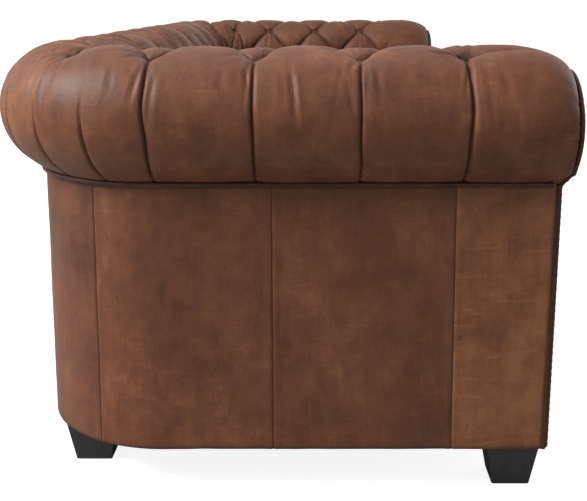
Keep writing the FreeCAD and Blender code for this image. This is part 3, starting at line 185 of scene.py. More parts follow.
dress(steel_finish("zinc_plate", shade(168, 164, 150), shade(206, 204, 192), 0.25, 0.45),
      "foot_bolts", "foot_tee_nuts")
dress(steel_finish("spring_steel", shade(74, 72, 72), shade(120, 118, 118), 0.35, 0.55),
      "seat_springs", "spring_clips")


# Elastic webbing. Woven straps of polyester over rubber, stretched from the upper slat to the
# stay slat behind the foam of the arms and the back.
def weave(tree, where, pitch):
    """A plain weave over a surface that faces any way, from 0 in the gaps to 1 on the threads."""
    scaled = place(tree, "ShaderNodeVectorMath", {0: where, "Scale": 2 * math.pi / pitch},
                   operation="SCALE").outputs[0]
    apart = place(tree, "ShaderNodeSeparateXYZ", {0: scaled})
    waves = [sums(tree, "SINE", axis) for axis in apart.outputs]
    product = sums(tree, "MULTIPLY", sums(tree, "ADD", waves[0], waves[1]),
                   sums(tree, "ADD", waves[2], waves[1]))
    return sums(tree, "MULTIPLY_ADD", product, 0.2, 0.5)


finish, tree, shader, where = new_finish("grey_webbing")
feed_tones(tree, shader, weave(tree, where, 0.0025),
           [(0.2, shade(58, 58, 60)), (0.8, shade(104, 104, 106))], (0.9, 0.7), 0.0006)
dress(finish, "arm_webbing", "back_webbing")


# Buttoned leather. Waxed full-grain hide, drawn over thick foam by four rows of covered buttons.
# It wraps the roll, the rear corners and the inside faces, in three lengths joined in the creases.
half_length, half_depth = 1.05, 0.48
corner_radius, corner_row_radius = 0.3, 0.2479
corner_x, corner_y = half_length - corner_radius, half_depth - corner_radius
roll_radius, roll_p, roll_z = 0.104, 0.108, 0.632
lean, wall_foot_z, wall_width = math.radians(10.5), 0.2691, 0.281
under_roll_p, under_roll_z, tuck_angle = 0.0743, 0.528, math.radians(25)
end_length, end_radius_drop, end_centre_drop = 0.095, 0.024, 0.016
facing_front, facing_neck, facing_foot = 0.4765, 0.4575, 0.4495
facing_foot_z, neck_low_z, neck_high_z = 0.081, 0.52, 0.542
facing_depth, end_reach, pad_depth = 0.0143, 0.0066, 0.042
straight_arm = facing_front - facing_depth + corner_y
corner_arc = corner_row_radius * math.pi / 2
path_length = 2 * (straight_arm + corner_arc) + 2 * corner_x
columns, rows, first_button = 20, 4, 0.159
pitch = (path_length - 2 * first_button) / columns
left_end, right_end = 4, 16

# Rows of buttons lie at angles on the roll and, further down, at shares of the flat face.
under_angle, top_row_angle, second_row_angle, face_angle_seen = 252, 106, 50, 10.5
face_length, face_steps = 0.388, (0.09, 0.24, 0.67)
row_reach = np.cumsum([
    0,
    roll_radius * math.radians(under_angle - top_row_angle),
    roll_radius * math.radians(top_row_angle - second_row_angle),
    roll_radius * math.radians(second_row_angle - face_angle_seen) + face_steps[0] * face_length,
    face_steps[1] * face_length,
    face_steps[2] * face_length,
])
face_reach = row_reach[3] - face_steps[0] * face_length


def smooth(value, low, high):
    share = np.clip((value - low) / (high - low), 0, 1)
    return share * share * (3 - 2 * share)


def facing_setback(z):
    """How far the facing stands behind the front of the roll's facing, at a height."""
    heights = [facing_foot_z, neck_low_z, neck_high_z]
    return np.interp(z, heights, [facing_front - facing_foot, facing_front - facing_neck, 0])


def wall_point(column, reach, height):
    """Points of the wall, from the column, the distance down its section and the height above
    the mean surface. Also how much the corner crowds them, and where they are round it."""
    s = first_button + column * pitch
    side = np.where(s > path_length / 2, -1.0, 1.0)
    s = np.minimum(s, path_length - s)
    share = np.clip(1 - s / end_length, 0, 1)
    shrink = 1 - np.sqrt(1 - share**2)
    radius = roll_radius - shrink * end_radius_drop
    centre_z = roll_z - shrink * end_centre_drop
    across = wall_width - shrink * end_radius_drop / math.cos(lean) - roll_p
    down = centre_z - wall_foot_z
    far = np.hypot(across, down)
    face_angle = np.arccos(radius / far) - np.arctan2(down, across)
    length = np.sqrt(far**2 - radius**2)

    # Down the section: round the roll, from its tucked edge, and then along the flat face.
    start_angle = math.pi + np.arctan2(centre_z - under_roll_z, roll_p - under_roll_p)
    start_radius = np.hypot(centre_z - under_roll_z, roll_p - under_roll_p)
    top_row = math.radians(top_row_angle)
    outer = np.clip(reach / row_reach[1], 0, 1)
    inner = np.clip((reach - row_reach[1]) / (face_reach - row_reach[1]), 0, 1)
    angle = start_angle + outer * (top_row - start_angle) + inner * (face_angle - top_row)
    tuck = np.clip((angle - start_angle) / tuck_angle + 1, 0, 1) ** 2
    radius = radius + tuck * (start_radius - radius)
    share = np.clip((reach - face_reach) / (row_reach[5] - face_reach), 0, 1)
    turned = np.where(share > 0, face_angle * (1 - share), angle)
    p = roll_p + radius * np.cos(angle) + share * length * np.sin(face_angle) + height * np.cos(turned)
    z = centre_z + radius * np.sin(angle) - share * length * np.cos(face_angle)
    z = z + height * np.sin(turned)

    # The arm's end is trimmed to the facing, which steps back below the roll.
    s = s + (facing_setback(z) - end_reach) * np.clip(1 - s / first_button, 0, 1)
    turn = np.clip((s - straight_arm) / corner_row_radius, 0, math.pi / 2)
    beyond = np.clip(s - straight_arm - corner_arc, 0, None)
    reach_out = corner_radius - p
    x = -corner_x - np.cos(turn) * reach_out + beyond
    x = np.where(s < straight_arm, -half_length + p, x)
    y = corner_y + np.sin(turn) * reach_out
    y = np.where(s < straight_arm, s + facing_depth - facing_front, y)
    blend = 0.03
    corner_end = straight_arm + corner_arc
    rounded = smooth(s, straight_arm - blend, straight_arm + blend)
    rounded = rounded * (1 - smooth(s, corner_end - blend, corner_end + blend))
    crowding = 1 + rounded * (reach_out / corner_row_radius - 1)
    return np.stack([side * x, y, z], axis=-1), np.clip(crowding, 0.12, 1.25), rounded


def soft_noise(across, down, seed):
    """Smooth random values from -1 to 1 over a plane, with one unit between its knots."""
    size = 256
    knots = np.random.default_rng(seed).uniform(-1, 1, (size, size))
    i, j = np.floor(across).astype(int), np.floor(down).astype(int)
    u, v = across - i, down - j
    u, v = u * u * (3 - 2 * u), v * v * (3 - 2 * v)
    i, j = i % size, j % size
    next_i, next_j = (i + 1) % size, (j + 1) % size
    near = knots[i, j] * (1 - u) + knots[next_i, j] * u
    far = knots[i, next_j] * (1 - u) + knots[next_i, next_j] * u
    return near * (1 - v) + far * v


def dip(distance, width):
    """The rounded drop of leather into a fold: 1 in the fold, and 0 at width from it."""
    share = np.clip(distance / width, 0, 1)
    return 1 - np.sqrt(1 - (1 - share) ** 2)


def to_segment(across, down, seg_across, seg_down):
    """Distance of points from a segment that starts at the origin, and their share along it."""
    share = (across * seg_across + down * seg_down) / (seg_across**2 + seg_down**2)
    share = np.clip(share, 0, 1)
    return np.hypot(across - share * seg_across, down - share * seg_down), share


def first_last(number):
    """Columns of the first and the last button of a row."""
    shift = 0.5 * (number % 2)
    return shift, columns - shift


# The grid follows the creases: half a column across for each row down, with its lines closer
# together near the buttons.
lines_per_column, lines_per_row, crowd = 48, 24, -0.45
front_lines, outer_lines, lower_lines, lining_lines = 46, 56, 34, 14
steps = np.arange(columns * lines_per_column + 1) / lines_per_column
inner_columns = steps + crowd * np.sin(4 * math.pi * steps) / (4 * math.pi)
front_columns = (np.linspace(0, 1, front_lines)[:-1] ** 1.35 - 1) * first_button / pitch
column_lines = np.concatenate([front_columns, inner_columns, columns - front_columns[::-1]])
steps = np.arange(3 * lines_per_row + 1) / lines_per_row
tuft_rows = steps + crowd * np.sin(2 * math.pi * steps) / (2 * math.pi)
row_lines = np.concatenate([np.linspace(-1, 0, outer_lines)[:-1], tuft_rows,
                            3 + np.linspace(0, 1, lower_lines)[1:]])
reach_lines = np.interp(row_lines, range(-1, 5), row_reach)
column, reach = np.meshgrid(column_lines, reach_lines, indexing="ij")
row = np.meshgrid(column_lines, row_lines, indexing="ij")[1]
_, crowding, rounded = wall_point(column, reach, 0 * column)
local_pitch, scale = pitch * crowding, np.minimum(crowding, 1)
ahead = np.minimum(column, columns - column)

# Distances from the pits and from the diamond folds between them. The last row has no buttons
# round the rear corners.
far_off = np.ones(column.shape)
fold, pit, forward, forward_share = far_off, far_off, far_off, far_off
for number in range(rows):
    first, last = first_last(number)
    nearest = np.clip(np.round(column - first) + first, first, last)
    down = reach - row_reach[number + 1]
    from_button = np.hypot((column - nearest) * local_pitch, down) / np.sqrt(scale)
    bare = (rounded > 0.5) & (number == rows - 1)
    pit = np.minimum(pit, np.where(bare, 1.0, from_button))
    if number == rows - 1:
        continue
    drop = row_reach[number + 2] - row_reach[number + 1]
    for offset in (-1, 0, 1):
        start = nearest + offset
        for turn in (-0.5, 0.5):
            there = (start >= first) & (start <= last) & (start + turn >= 0) & (start + turn <= columns)
            distance, _ = to_segment((column - start) * local_pitch, down, turn * local_pitch, drop)
            fold = np.minimum(fold, np.where(there, distance, 1.0))

# Folds that run forward from the first buttons of the first and third rows, and fade.
forward_reach, forward_fall = -0.115, 0.012
for number in (0, 2):
    down = reach - row_reach[number + 1]
    distance, share = to_segment(ahead * pitch, down, forward_reach, forward_fall)
    forward_share = np.where(distance < forward, share, forward_share)
    forward = np.minimum(forward, distance)

# Straight pleats: down the outside of the roll at whole columns, and below the last row at half
# columns. The rear corners have softer ones, also at half columns, that fade up the roll. The
# leather on one side of a pleat lies over the other, so one edge is the sharper.
sharp_edge, sharp_half_edge, easy_edge, lower_edge = 0.005, 0.0055, 0.011, 0.024
nearest_whole = np.round(column)
nearest_half = np.clip(np.round(column - 0.5), 0, columns - 1) + 0.5
beside_whole = (column - np.clip(nearest_whole, 0, columns)) * local_pitch
beside_half = (column - nearest_half) * local_pitch
whole, half = np.abs(beside_whole), np.abs(beside_half)
soft_column = np.isin(np.minimum(nearest_whole, columns - nearest_whole), (4, 5))
soft_start = 0.9 * (1 - smooth(row, -0.72, -0.28))
over = np.where(nearest_whole % 3 == 1, -1, 1)
pleat = dip(whole, np.where(beside_whole * over > 0, sharp_edge, easy_edge))
pleat = pleat * np.where(soft_column, soft_start, 1.0)
half_pleat = dip(half, np.where(beside_half > 0, sharp_half_edge, easy_edge))
pleat = np.maximum(pleat, half_pleat * soft_start * rounded)
pleat = pleat * (row < 0) * (1 - 0.6 * smooth(-row, 0.86, 1.0))
lower_pleat = dip(half, lower_edge) * smooth(row, 2.98, 3.02) * (1 - 0.5 * smooth(row, 3.2, 4.0))

# How full the filling stands between the folds: 1 in the open, and 0 in a fold.
fullness = np.abs(np.sin(math.pi * (column + row / 2)) * np.sin(math.pi * (column - row / 2))) ** 0.4
fullness = np.maximum(fullness, smooth(0.5 - ahead, 0.0, 0.5))
outer_fullness = np.where(ahead < 0, 1.0, np.abs(np.sin(math.pi * column)) ** 0.4)
lower_fullness = np.abs(np.cos(math.pi * column)) ** 0.55
fullness = np.select([row < 0, row > 3], [outer_fullness, lower_fullness], fullness)

crown, crease_drop, pit_drop, pit_width = 0.004, 0.009, 0.0145, 0.05
fold_drop, fold_width, pleat_drop, lower_drop = 0.0078, 0.026, 0.0075, 0.007
forward_drop, forward_width, button_rim = 0.012, 0.03, 0.0105
tuft_drop = crease_drop * (1 - fullness) * np.where(row < 0, 1 - 0.84 * smooth(-row, 0, 0.3), 1.0)
sharp = fold_drop * dip(fold, fold_width) * ((row >= 0) & (row <= 3))
sharp = np.maximum(sharp, pleat_drop * pleat)
sharp = np.maximum(sharp, lower_drop * lower_pleat)
fading = (1 - forward_share) ** 0.7 * (ahead < 0.02)
sharp = np.maximum(sharp, forward_drop * dip(forward, forward_width) * fading)
pit_share = dip(np.clip(pit - button_rim, 0, None), pit_width)
height = crown - (tuft_drop + sharp + pit_drop * pit_share) * np.sqrt(scale)


def press_stroke(surface, deep, beside, width, ridge_at):
    """Presses a soft groove into the surface, with a low ridge along each side of it."""
    surface -= deep * np.exp(-(beside / width) ** 2)
    surface += 0.5 * deep * np.exp(-((np.abs(beside) - ridge_at * width) / width) ** 2)


# Wrinkles that spread from the buttons, and drag lines down the outside of the roll.
draw = np.random.default_rng(71)
wrinkle = np.zeros(column.shape)
for number in range(rows):
    first, last = first_last(number)
    for start in np.arange(first, last + 0.1):
        low, high = np.searchsorted(column_lines, [start - 0.62, start + 0.62])
        near = (slice(low, high), slice(None))
        across = (column[near] - start) * local_pitch[near]
        down = reach[near] - row_reach[number + 1]
        for stroke in range(11):
            angle = draw.uniform(0, 2 * math.pi)
            length, width = draw.uniform(0.028, 0.07), draw.uniform(0.0028, 0.005)
            deep = draw.uniform(0.0008, 0.0026)
            along = across * math.cos(angle) + down * math.sin(angle)
            beside = down * math.cos(angle) - across * math.sin(angle)
            share = np.clip((along - 0.013) / length, 0, 1)
            taper = np.sin(math.pi * share) ** 0.8 * (1 - 0.5 * share)
            press_stroke(wrinkle[near], deep * taper, beside, width, 1.9)
        if number == 0:
            for stroke in range(7):
                offset, lean_over = draw.uniform(-0.055, 0.055), draw.uniform(-0.22, 0.22)
                top, length = draw.uniform(0.012, 0.05), draw.uniform(0.05, 0.13)
                width, deep = draw.uniform(0.003, 0.0055), draw.uniform(0.0005, 0.0018)
                beside = across - offset + lean_over * down
                taper = np.sin(math.pi * np.clip((-down - top) / length, 0, 1))
                press_stroke(wrinkle[near], deep * taper, beside, width, 1.8)

# Gathers where the rear corners crowd the leather, and the folds drawn over the top of the back.
gather_rise, drawn_rise, back_rise, crowded_rise = 0.0016, 0.0003, 0.0055, 0.001
crowded = np.clip((1 - crowding) * 1.5, 0, 1)
gathers = soft_noise(column * 9.0, reach / 0.11, 5) + 0.5 * soft_noise(column * 21.0, reach / 0.05, 6)
wrinkle += gather_rise * gathers * crowded
phase = column * 6.5 - row * 1.9 + 1.3 * soft_noise(column * 1.7, row * 1.3, 13)
drawn = np.abs(np.sin(math.pi * phase)) ** 0.5 - 0.76
drawn = drawn * smooth(row, -0.5, -0.1) * (1 - smooth(row, 1.5, 2.4))
presence = np.clip(0.5 + 1.3 * soft_noise(column * 1.9 + 7, row * 1.4, 14), 0, 1)
on_back = smooth(ahead, 3.7, 5.0)
wrinkle += (drawn_rise + back_rise * on_back + crowded_rise * crowded) * drawn * presence

# Small ripples and nips against the facing's piping, and the slow unevenness of the filling.
from_end = first_button + ahead * pitch
wrinkle += 0.0008 * soft_noise(reach / 0.017, column * 0.7, 8) * np.exp(-from_end / 0.016)
nips = np.zeros(column.shape)
for ends in (column < columns / 2, column > columns / 2):
    at = 0.01
    while at < row_reach[5]:
        width, length = draw.uniform(0.0016, 0.003), draw.uniform(0.008, 0.022)
        deep, slant = draw.uniform(0.0012, 0.0026), draw.uniform(-0.2, 0.2)
        groove = np.exp(-((reach - at - slant * from_end) / width) ** 2) * ends
        wrinkle -= deep * groove * np.exp(-from_end / length)
        nips = np.maximum(nips, groove * np.exp(-(from_end / (0.6 * length)) ** 2))
        at += draw.uniform(0.018, 0.042)
s_line = column * pitch
uneven = 0.0011 * soft_noise(s_line / 0.07, reach / 0.06, 11)
uneven += 0.0005 * soft_noise(s_line / 0.021, reach / 0.034, 12)
height += (wrinkle + uneven) * (1 - pit_share)

# The creases wander a little between the buttons.
wander_size, sway_size, clear_of_pits = 0.0042, 0.0028, smooth(pit, 0.012, 0.05)
wander = wander_size * soft_noise(s_line / 0.045, reach / 0.05, 21) * clear_of_pits
wander = wander * (1 - 0.5 * smooth(-row, 0, 0.2)) * smooth(from_end, 0.0, 0.06)
sway = sway_size * soft_noise(s_line / 0.05, reach / 0.045, 22) * clear_of_pits
sway = sway * smooth(reach, 0.0, 0.03) * (1 - smooth(reach, row_reach[5] - 0.03, row_reach[5]))
wall = wall_point(column + wander / local_pitch, reach + sway, height)[0]
lining_reach = np.linspace(0, row_reach[5], lining_lines)
lining_column, lining_down = np.meshgrid(column_lines, lining_reach, indexing="ij")
lining = wall_point(lining_column, lining_down, 0 * lining_column - pad_depth)[0]

# Painted shade in the folds, the pits, the drawn folds and the nips, and a painted highlight with
# scratches on the full parts between the folds.
line_distance = np.minimum(np.where((row >= 0) & (row <= 3), fold, 1.0),
                           np.where(pleat > 0.5, whole, 1.0))
line_distance = np.minimum(line_distance, np.where((row < 0) & (rounded > 0.5), half, 1.0))
painted_fold_shade = np.exp(-(line_distance / 0.0026) ** 2) * smooth(sharp, 0.003, 0.0075)
painted_fold_shade = np.maximum(painted_fold_shade, 0.9 * np.exp(-(pit / 0.0155) ** 6))
painted_fold_shade = np.maximum(painted_fold_shade, 0.6 * smooth(-drawn, 0.35, 0.7) * presence * on_back)
painted_fold_shade = np.maximum(painted_fold_shade, 0.6 * nips)
crown_highlight_and_wear = 0.35 * np.clip(height / crown, 0, 1) * smooth(line_distance, 0.004, 0.02)


def grid_normals(points):
    """Unit normals of a grid of points, that point to the outside of the wall."""
    along, down = np.gradient(points, axis=0), np.gradient(points, axis=1)
    normals = np.cross(down, along)
    return normals / np.maximum(np.linalg.norm(normals, axis=-1, keepdims=True), 1e-12)


def mesh_piece(name, points, faces, finish, masks=(), normals=None):
    """A mesh object with smooth faces, a finish, and a value at each point for each mask."""
    mesh = bpy.data.meshes.new(name)
    mesh.from_pydata(np.asarray(points).reshape(-1, 3).tolist(), [], faces)
    mesh.polygons.foreach_set("use_smooth", np.ones(len(mesh.polygons), bool))
    for mask, values in dict(masks).items():
        attribute = mesh.attributes.new(mask, "FLOAT", "POINT")
        attribute.data.foreach_set("value", np.asarray(values, np.float32).ravel())
    if normals is not None:
        mesh.normals_split_custom_set_from_vertices(normals.tolist())
    mesh.materials.append(finish)
    mesh.update()
    piece = bpy.data.objects.new(name, mesh)
    bpy.context.scene.collection.objects.link(piece)
    return piece


def grid_quads(first, across, down, flip=False):
    """Faces of a grid of points that are numbered down its lines, from a first number."""
    i, j = np.meshgrid(np.arange(across - 1), np.arange(down - 1), indexing="ij")
    a = (first + i * down + j).ravel()
    quads = np.stack([a, a + 1, a + down + 1, a + down], axis=-1)
    return (quads[:, ::-1] if flip else quads).tolist()


def new_group(name, kind, inputs, outputs):
    """A node tree with named inputs and outputs, and the values that its inputs bring."""
    tree = bpy.data.node_groups.new(name, kind)
    for in_out, sockets in (("INPUT", inputs), ("OUTPUT", outputs)):
        for socket, value in sockets.items():
            tree.interface.new_socket(socket, in_out=in_out, socket_type=f"NodeSocket{value}")
    return tree, place(tree, "NodeGroupInput").outputs


# The patina of waxed pull-up hide: clouds of lighter and darker brown where the wax has moved,
# drag marks, scratches and a fine pebbled grain, with painted shade in the folds and a painted
# highlight on the crowns from the piece's masks.
def hide_group():
    group, given = new_group(
        "waxed_hide", "ShaderNodeTree",
        {"Vector": "Vector", "Tone": "Float", "PaintedShade": "Float", "WearAndHighlight": "Float"},
        {"Color": "Color", "Roughness": "Float", "Normal": "Vector"})
    where = given["Vector"]
    clouds = noise(group, where, 6.5, 3, 0.55, 0.5)
    mottle = noise(group, where, 27, 5, 0.62, 0.3)
    speckle = noise(group, where, 210, 3, 0.6)
    drags = noise(group, stretched(group, where, (1, 1, 0.16)), 55, 4, 0.6)
    upright = noise(group, stretched(group, where, (1, 1, 0.05)), 330, 2, 0.6)
    level = noise(group, stretched(group, where, (0.06, 0.06, 1)), 300, 2, 0.6)
    streaks = noise(group, stretched(group, where, (0.1, 0.1, 1)), 75, 2, 0.5, 0.9)
    scars = place(group, "ShaderNodeMapRange", {"Value": streaks, "From Min": 0.62,
                                                "From Max": 0.72}).outputs["Result"]
    # Scratches show where the wear and highlight mask is high. The same mask also lightens the hide a
    # little, which on the tufts' crowns is a painted highlight.
    scars = sums(group, "MULTIPLY", scars, given["WearAndHighlight"])
    mix = sums(group, "MULTIPLY", mottle, 0.3)
    for pattern, weight in ((clouds, 0.34), (drags, 0.14), (speckle, 0.1), (upright, 0.07),
                            (level, 0.06), (scars, 0.1), (given["WearAndHighlight"], 0.03), (given["Tone"], 0.1)):
        mix = sums(group, "MULTIPLY_ADD", pattern, weight, mix)
    # The darkest stop mostly serves the piping, darkened as painted shade.
    browns = ramp(group, mix, [
        (0.25, shade(50, 27, 18)), (0.36, shade(74, 42, 27)), (0.47, shade(92, 55, 36)),
        (0.55, shade(104, 63, 41)), (0.7, shade(133, 88, 58)),
    ])
    # Painted shade: the colour goes towards near-black where the shade mask is high.
    shade_share = sums(group, "MULTIPLY", given["PaintedShade"], 0.88)
    colour = place(group, "ShaderNodeMix", {"Factor": shade_share, "A": browns,
                                            "B": (*shade(34, 16, 9), 1)}, data_type="RGBA")
    rough = rough_between(group, mottle, 0.42, 0.66)
    rough = sums(group, "MULTIPLY_ADD", given["PaintedShade"], 0.2, rough)
    cells = place(group, "ShaderNodeTexVoronoi", {"Vector": where, "Scale": 620},
                  feature="SMOOTH_F1").outputs["Distance"]
    lines = noise(group, where, 95, 4, 0.55, 0.6)
    pebbles = sums(group, "MULTIPLY_ADD", cells, 0.35, lines)
    place(group, "NodeGroupOutput", {"Color": colour.outputs["Result"], "Roughness": rough,
                                     "Normal": bump(group, pebbles, 0.0009, 0.55)})
    return group


waxed_hide = hide_group()


def hide_finish(name, tone=0.0, offset=(0, 0, 0)):
    """Waxed hide cut from its own part of the skin. The piece's masks darken it with painted shade in its
    folds and recesses, and lighten it with scratches where it is worn and a painted highlight on tufted
    crowns.
    """
    finish, tree, shader, where = new_finish(name)
    painted_shade, wear_and_highlight, panel = (place(tree, "ShaderNodeAttribute", attribute_name=mask).outputs["Fac"]
                          for mask in ("painted_shade", "wear_and_highlight", "tone"))
    moved = place(tree, "ShaderNodeMapping", {"Vector": where, "Location": offset}).outputs["Vector"]
    spread = place(tree, "ShaderNodeCombineXYZ", {0: panel, 1: panel, 2: panel}).outputs[0]
    skin = place(tree, "ShaderNodeVectorMath", {0: moved, 1: spread}, operation="ADD").outputs[0]
    inputs = {"Vector": skin, "Tone": sums(tree, "ADD", panel, tone), "PaintedShade": painted_shade, "WearAndHighlight": wear_and_highlight}
    look = place(tree, "ShaderNodeGroup", inputs, node_tree=waxed_hide).outputs
    feed(tree, shader, look["Color"], look["Roughness"], look["Normal"])
    shader.inputs["Specular IOR Level"].default_value = 0.25
    return finish


tufted_finish = hide_finish("waxed_brown_hide")
wall_normals, lining_normals = grid_normals(wall), -grid_normals(lining)


def tufted_piece(name, first, last, replaced, tone):
    """One length of the wall between two columns, closed by its lining and its ends. Each cell
    of the grid is split along the fold that runs nearest to it."""
    low, high = np.searchsorted(column_lines, [first - 1e-6, last + 1e-6])
    part = slice(low, high)
    count, down, lined = high - low, len(row_lines), len(lining_reach)
    a, b, c, d = np.array(grid_quads(0, count, down)).T
    falls, rises = (np.abs(np.sin(math.pi * (column + way * row / 2 + 0.001)))[low:high - 1, :-1]
                    for way in (-1, 1))
    split = (falls < rises).reshape(-1, 1)
    one = np.where(split, np.stack([a, b, c], -1), np.stack([a, b, d], -1))
    two = np.where(split, np.stack([a, c, d], -1), np.stack([b, c, d], -1))
    outer_count = count * down
    faces = one.tolist() + two.tolist() + grid_quads(outer_count, count, lined, flip=True)
    outer, inner = np.arange(count) * down, outer_count + np.arange(count) * lined
    foot, inner_foot = outer + down - 1, inner + lined - 1
    top_rim = np.stack([outer[1:], inner[1:], inner[:-1], outer[:-1]], -1)
    foot_rim = np.stack([foot[:-1], inner_foot[:-1], inner_foot[1:], foot[1:]], -1)
    faces += np.stack([top_rim, foot_rim], 1).reshape(-1, 4).tolist()
    for line, way in ((0, 1), (count - 1, -1)):
        cap = list(range(outer[line], foot[line] + 1))[::-1]
        cap += list(range(inner[line], inner_foot[line] + 1))
        faces.append(cap[::way])
    points = np.concatenate([wall[part].reshape(-1, 3), lining[part].reshape(-1, 3)])
    normals = np.concatenate([wall_normals[part].reshape(-1, 3), lining_normals[part].reshape(-1, 3)])
    plain = np.zeros(count * lined)
    masks = {
        "painted_shade": np.concatenate([painted_fold_shade[part].ravel(), plain]),
        "wear_and_highlight": np.concatenate([crown_highlight_and_wear[part].ravel(), plain]),
        "tone": np.full(len(points), tone),
    }
    piece = mesh_piece(name, points, faces, tufted_finish, masks, normals)
    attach(piece, "root")
    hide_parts(*replaced)


tufted_piece("buttoned_leather_left", column_lines[0], left_end,
             ["tufted_leather_left", "arm_pad_left"], 0.0)
tufted_piece("buttoned_leather_back", left_end, right_end,
             ["tufted_leather_back", "back_pad"], 0.2)
tufted_piece("buttoned_leather_right", right_end, column_lines[-1],
             ["tufted_leather_right", "arm_pad_right"], -0.4)


# Covered buttons. Steel shells under a disc of the same hide, pulled down into the foam by twine
# until the leather closes round their rims.
def stamping_tree():
    """Sets a flattened ball on each point of a mesh, turned to the point's aim."""
    tree, given = new_group(
        "studs", "GeometryNodeTree",
        {"Geometry": "Geometry", "Radius": "Float", "Dome": "Float", "Sides": "Int", "Rings": "Int",
         "Finish": "Material"}, {"Geometry": "Geometry"})
    ball = place(tree, "GeometryNodeMeshUVSphere", {"Segments": given["Sides"], "Rings": given["Rings"]})
    size = place(tree, "ShaderNodeCombineXYZ", {0: given["Radius"], 1: given["Radius"],
                                                2: given["Dome"]})
    flat = place(tree, "GeometryNodeTransform", {"Geometry": ball.outputs["Mesh"],
                                                 "Scale": size.outputs[0]})
    aim = place(tree, "GeometryNodeInputNamedAttribute", {"Name": "aim"}, data_type="FLOAT_VECTOR")
    turn = place(tree, "FunctionNodeAlignRotationToVector", {"Vector": aim.outputs[0]}, axis="Z")
    set_down = place(tree, "GeometryNodeInstanceOnPoints", {
        "Points": given["Geometry"], "Instance": flat.outputs["Geometry"],
        "Rotation": turn.outputs["Rotation"]})
    real = place(tree, "GeometryNodeRealizeInstances", {"Geometry": set_down.outputs["Instances"]})
    round_off = place(tree, "GeometryNodeSetShadeSmooth", {"Geometry": real.outputs["Geometry"]})
    covered = place(tree, "GeometryNodeSetMaterial", {
        "Geometry": round_off.outputs["Geometry"], "Material": given["Finish"]})
    place(tree, "NodeGroupOutput", {"Geometry": covered.outputs["Geometry"]})
    return tree


studs = stamping_tree()


def built_mesh(piece):
    """A plain mesh of a piece, with its modifiers applied."""
    return bpy.data.meshes.new_from_object(piece.evaluated_get(bpy.context.evaluated_depsgraph_get()))


def stamped(name, places, aims, radius, dome, sides, rings, finish):
    """A plain mesh of flattened balls at places, each turned to its aim."""
    mesh = bpy.data.meshes.new(name)
    mesh.from_pydata([tuple(at) for at in places], [], [])
    aim = mesh.attributes.new("aim", "FLOAT_VECTOR", "POINT")
    aim.data.foreach_set("vector", np.asarray(aims, np.float32).ravel())
    seed = bpy.data.objects.new(name + "_points", mesh)
    bpy.context.scene.collection.objects.link(seed)
    modifier = seed.modifiers.new("studs", "NODES")
    modifier.node_group = studs
    values = {"Radius": radius, "Dome": dome, "Sides": sides, "Rings": rings, "Finish": finish}
    for item in studs.interface.items_tree:
        if item.in_out == "INPUT" and item.name in values:
            modifier[item.identifier] = values[item.name]
    bpy.context.view_layer.update()
    made = built_mesh(seed)
    made.name = name
    bpy.data.objects.remove(seed)
    piece = bpy.data.objects.new(name, made)
    bpy.context.scene.collection.objects.link(piece)
    return piece


button_finish = hide_finish("button_hide", tone=-1.1, offset=(0.4, 0.1, 0.3))
button_radius, button_dome, button_depth, button_sides, button_rings = 0.0115, 0.006, 0.0232, 28, 14
button_places = {"left": [], "back": [], "right": []}
for number in range(rows):
    first, last = first_last(number)
    for at in np.arange(first, last + 0.1):
        lone, down = np.array([at]), np.array([row_reach[number + 1]])
        low, _, turned = wall_point(lone, down, np.full(1, -button_depth))
        if number == rows - 1 and turned[0] > 0.5:
            continue
        high = wall_point(lone, down, np.full(1, 0.001 - button_depth))[0]
        side = "left" if at < left_end else "right" if at > right_end else "back"
        button_places[side].append((low[0], high[0] - low[0]))
for side, found in button_places.items():
    piece = stamped(f"covered_buttons_{side}", [at for at, _ in found], [aim for _, aim in found],
                    button_radius, button_dome, button_sides, button_rings, button_finish)
    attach(piece, "root")
    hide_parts(f"buttons_{side}")


# Outside leather. Flat panels of hide stretched over the bent boards and sewn edge to edge, with
# the seams run upright. They go under the frame at the bottom and up behind the roll at the top.
outside_p, outside_top = 0.072, 0.5277
outside_radius = corner_radius - outside_p
outside_straight = corner_y + facing_neck
corner_end = outside_straight + outside_radius * math.pi / 2
front_panel, side_panel, back_width = 0.164, 0.291, 2 * corner_x / 5
leather_thickness, hem_radius, panel_grid, panel_levels = 0.002, 0.0016, 0.006, 74
seam_groove, groove_width, seam_swell = 0.001, 0.0011, 0.0006
near_seam = (0.0007, 0.0014, 0.0022, 0.0034, 0.005, 0.0075, 0.011, 0.015)


def outside_point(t, z, proud):
    """Points on the left outside, at a distance t from the front along it, and past the back
    corner on the back."""
    turn = np.clip((t - outside_straight) / outside_radius, 0, math.pi / 2)
    beyond = np.clip(t - corner_end, 0, None)
    x = -corner_x - np.cos(turn) * (outside_radius + proud) + beyond
    y = corner_y + np.sin(turn) * (outside_radius + proud)
    straight = t < outside_straight
    x = np.where(straight, -half_length + outside_p - proud, x)
    y = np.where(straight, t - facing_neck, y)
    return np.stack([x, y, z], axis=-1)


def shell_faces(across, down, flip=False):
    """Faces of a closed shell: an outer and an inner grid of points, joined round the rim."""
    count = across * down
    faces = grid_quads(0, across, down, flip) + grid_quads(count, across, down, not flip)
    rims = [(range(0, count, down), False), (range(down - 1, count, down), True),
            (range(down), True), (range(count - down, count), False)]
    for rim, reverse in rims:
        for a, b in zip(rim, rim[1:]):
            face = [a, b, b + count, a + count]
            faces.append(face[::-1] if reverse != flip else face)
    return faces


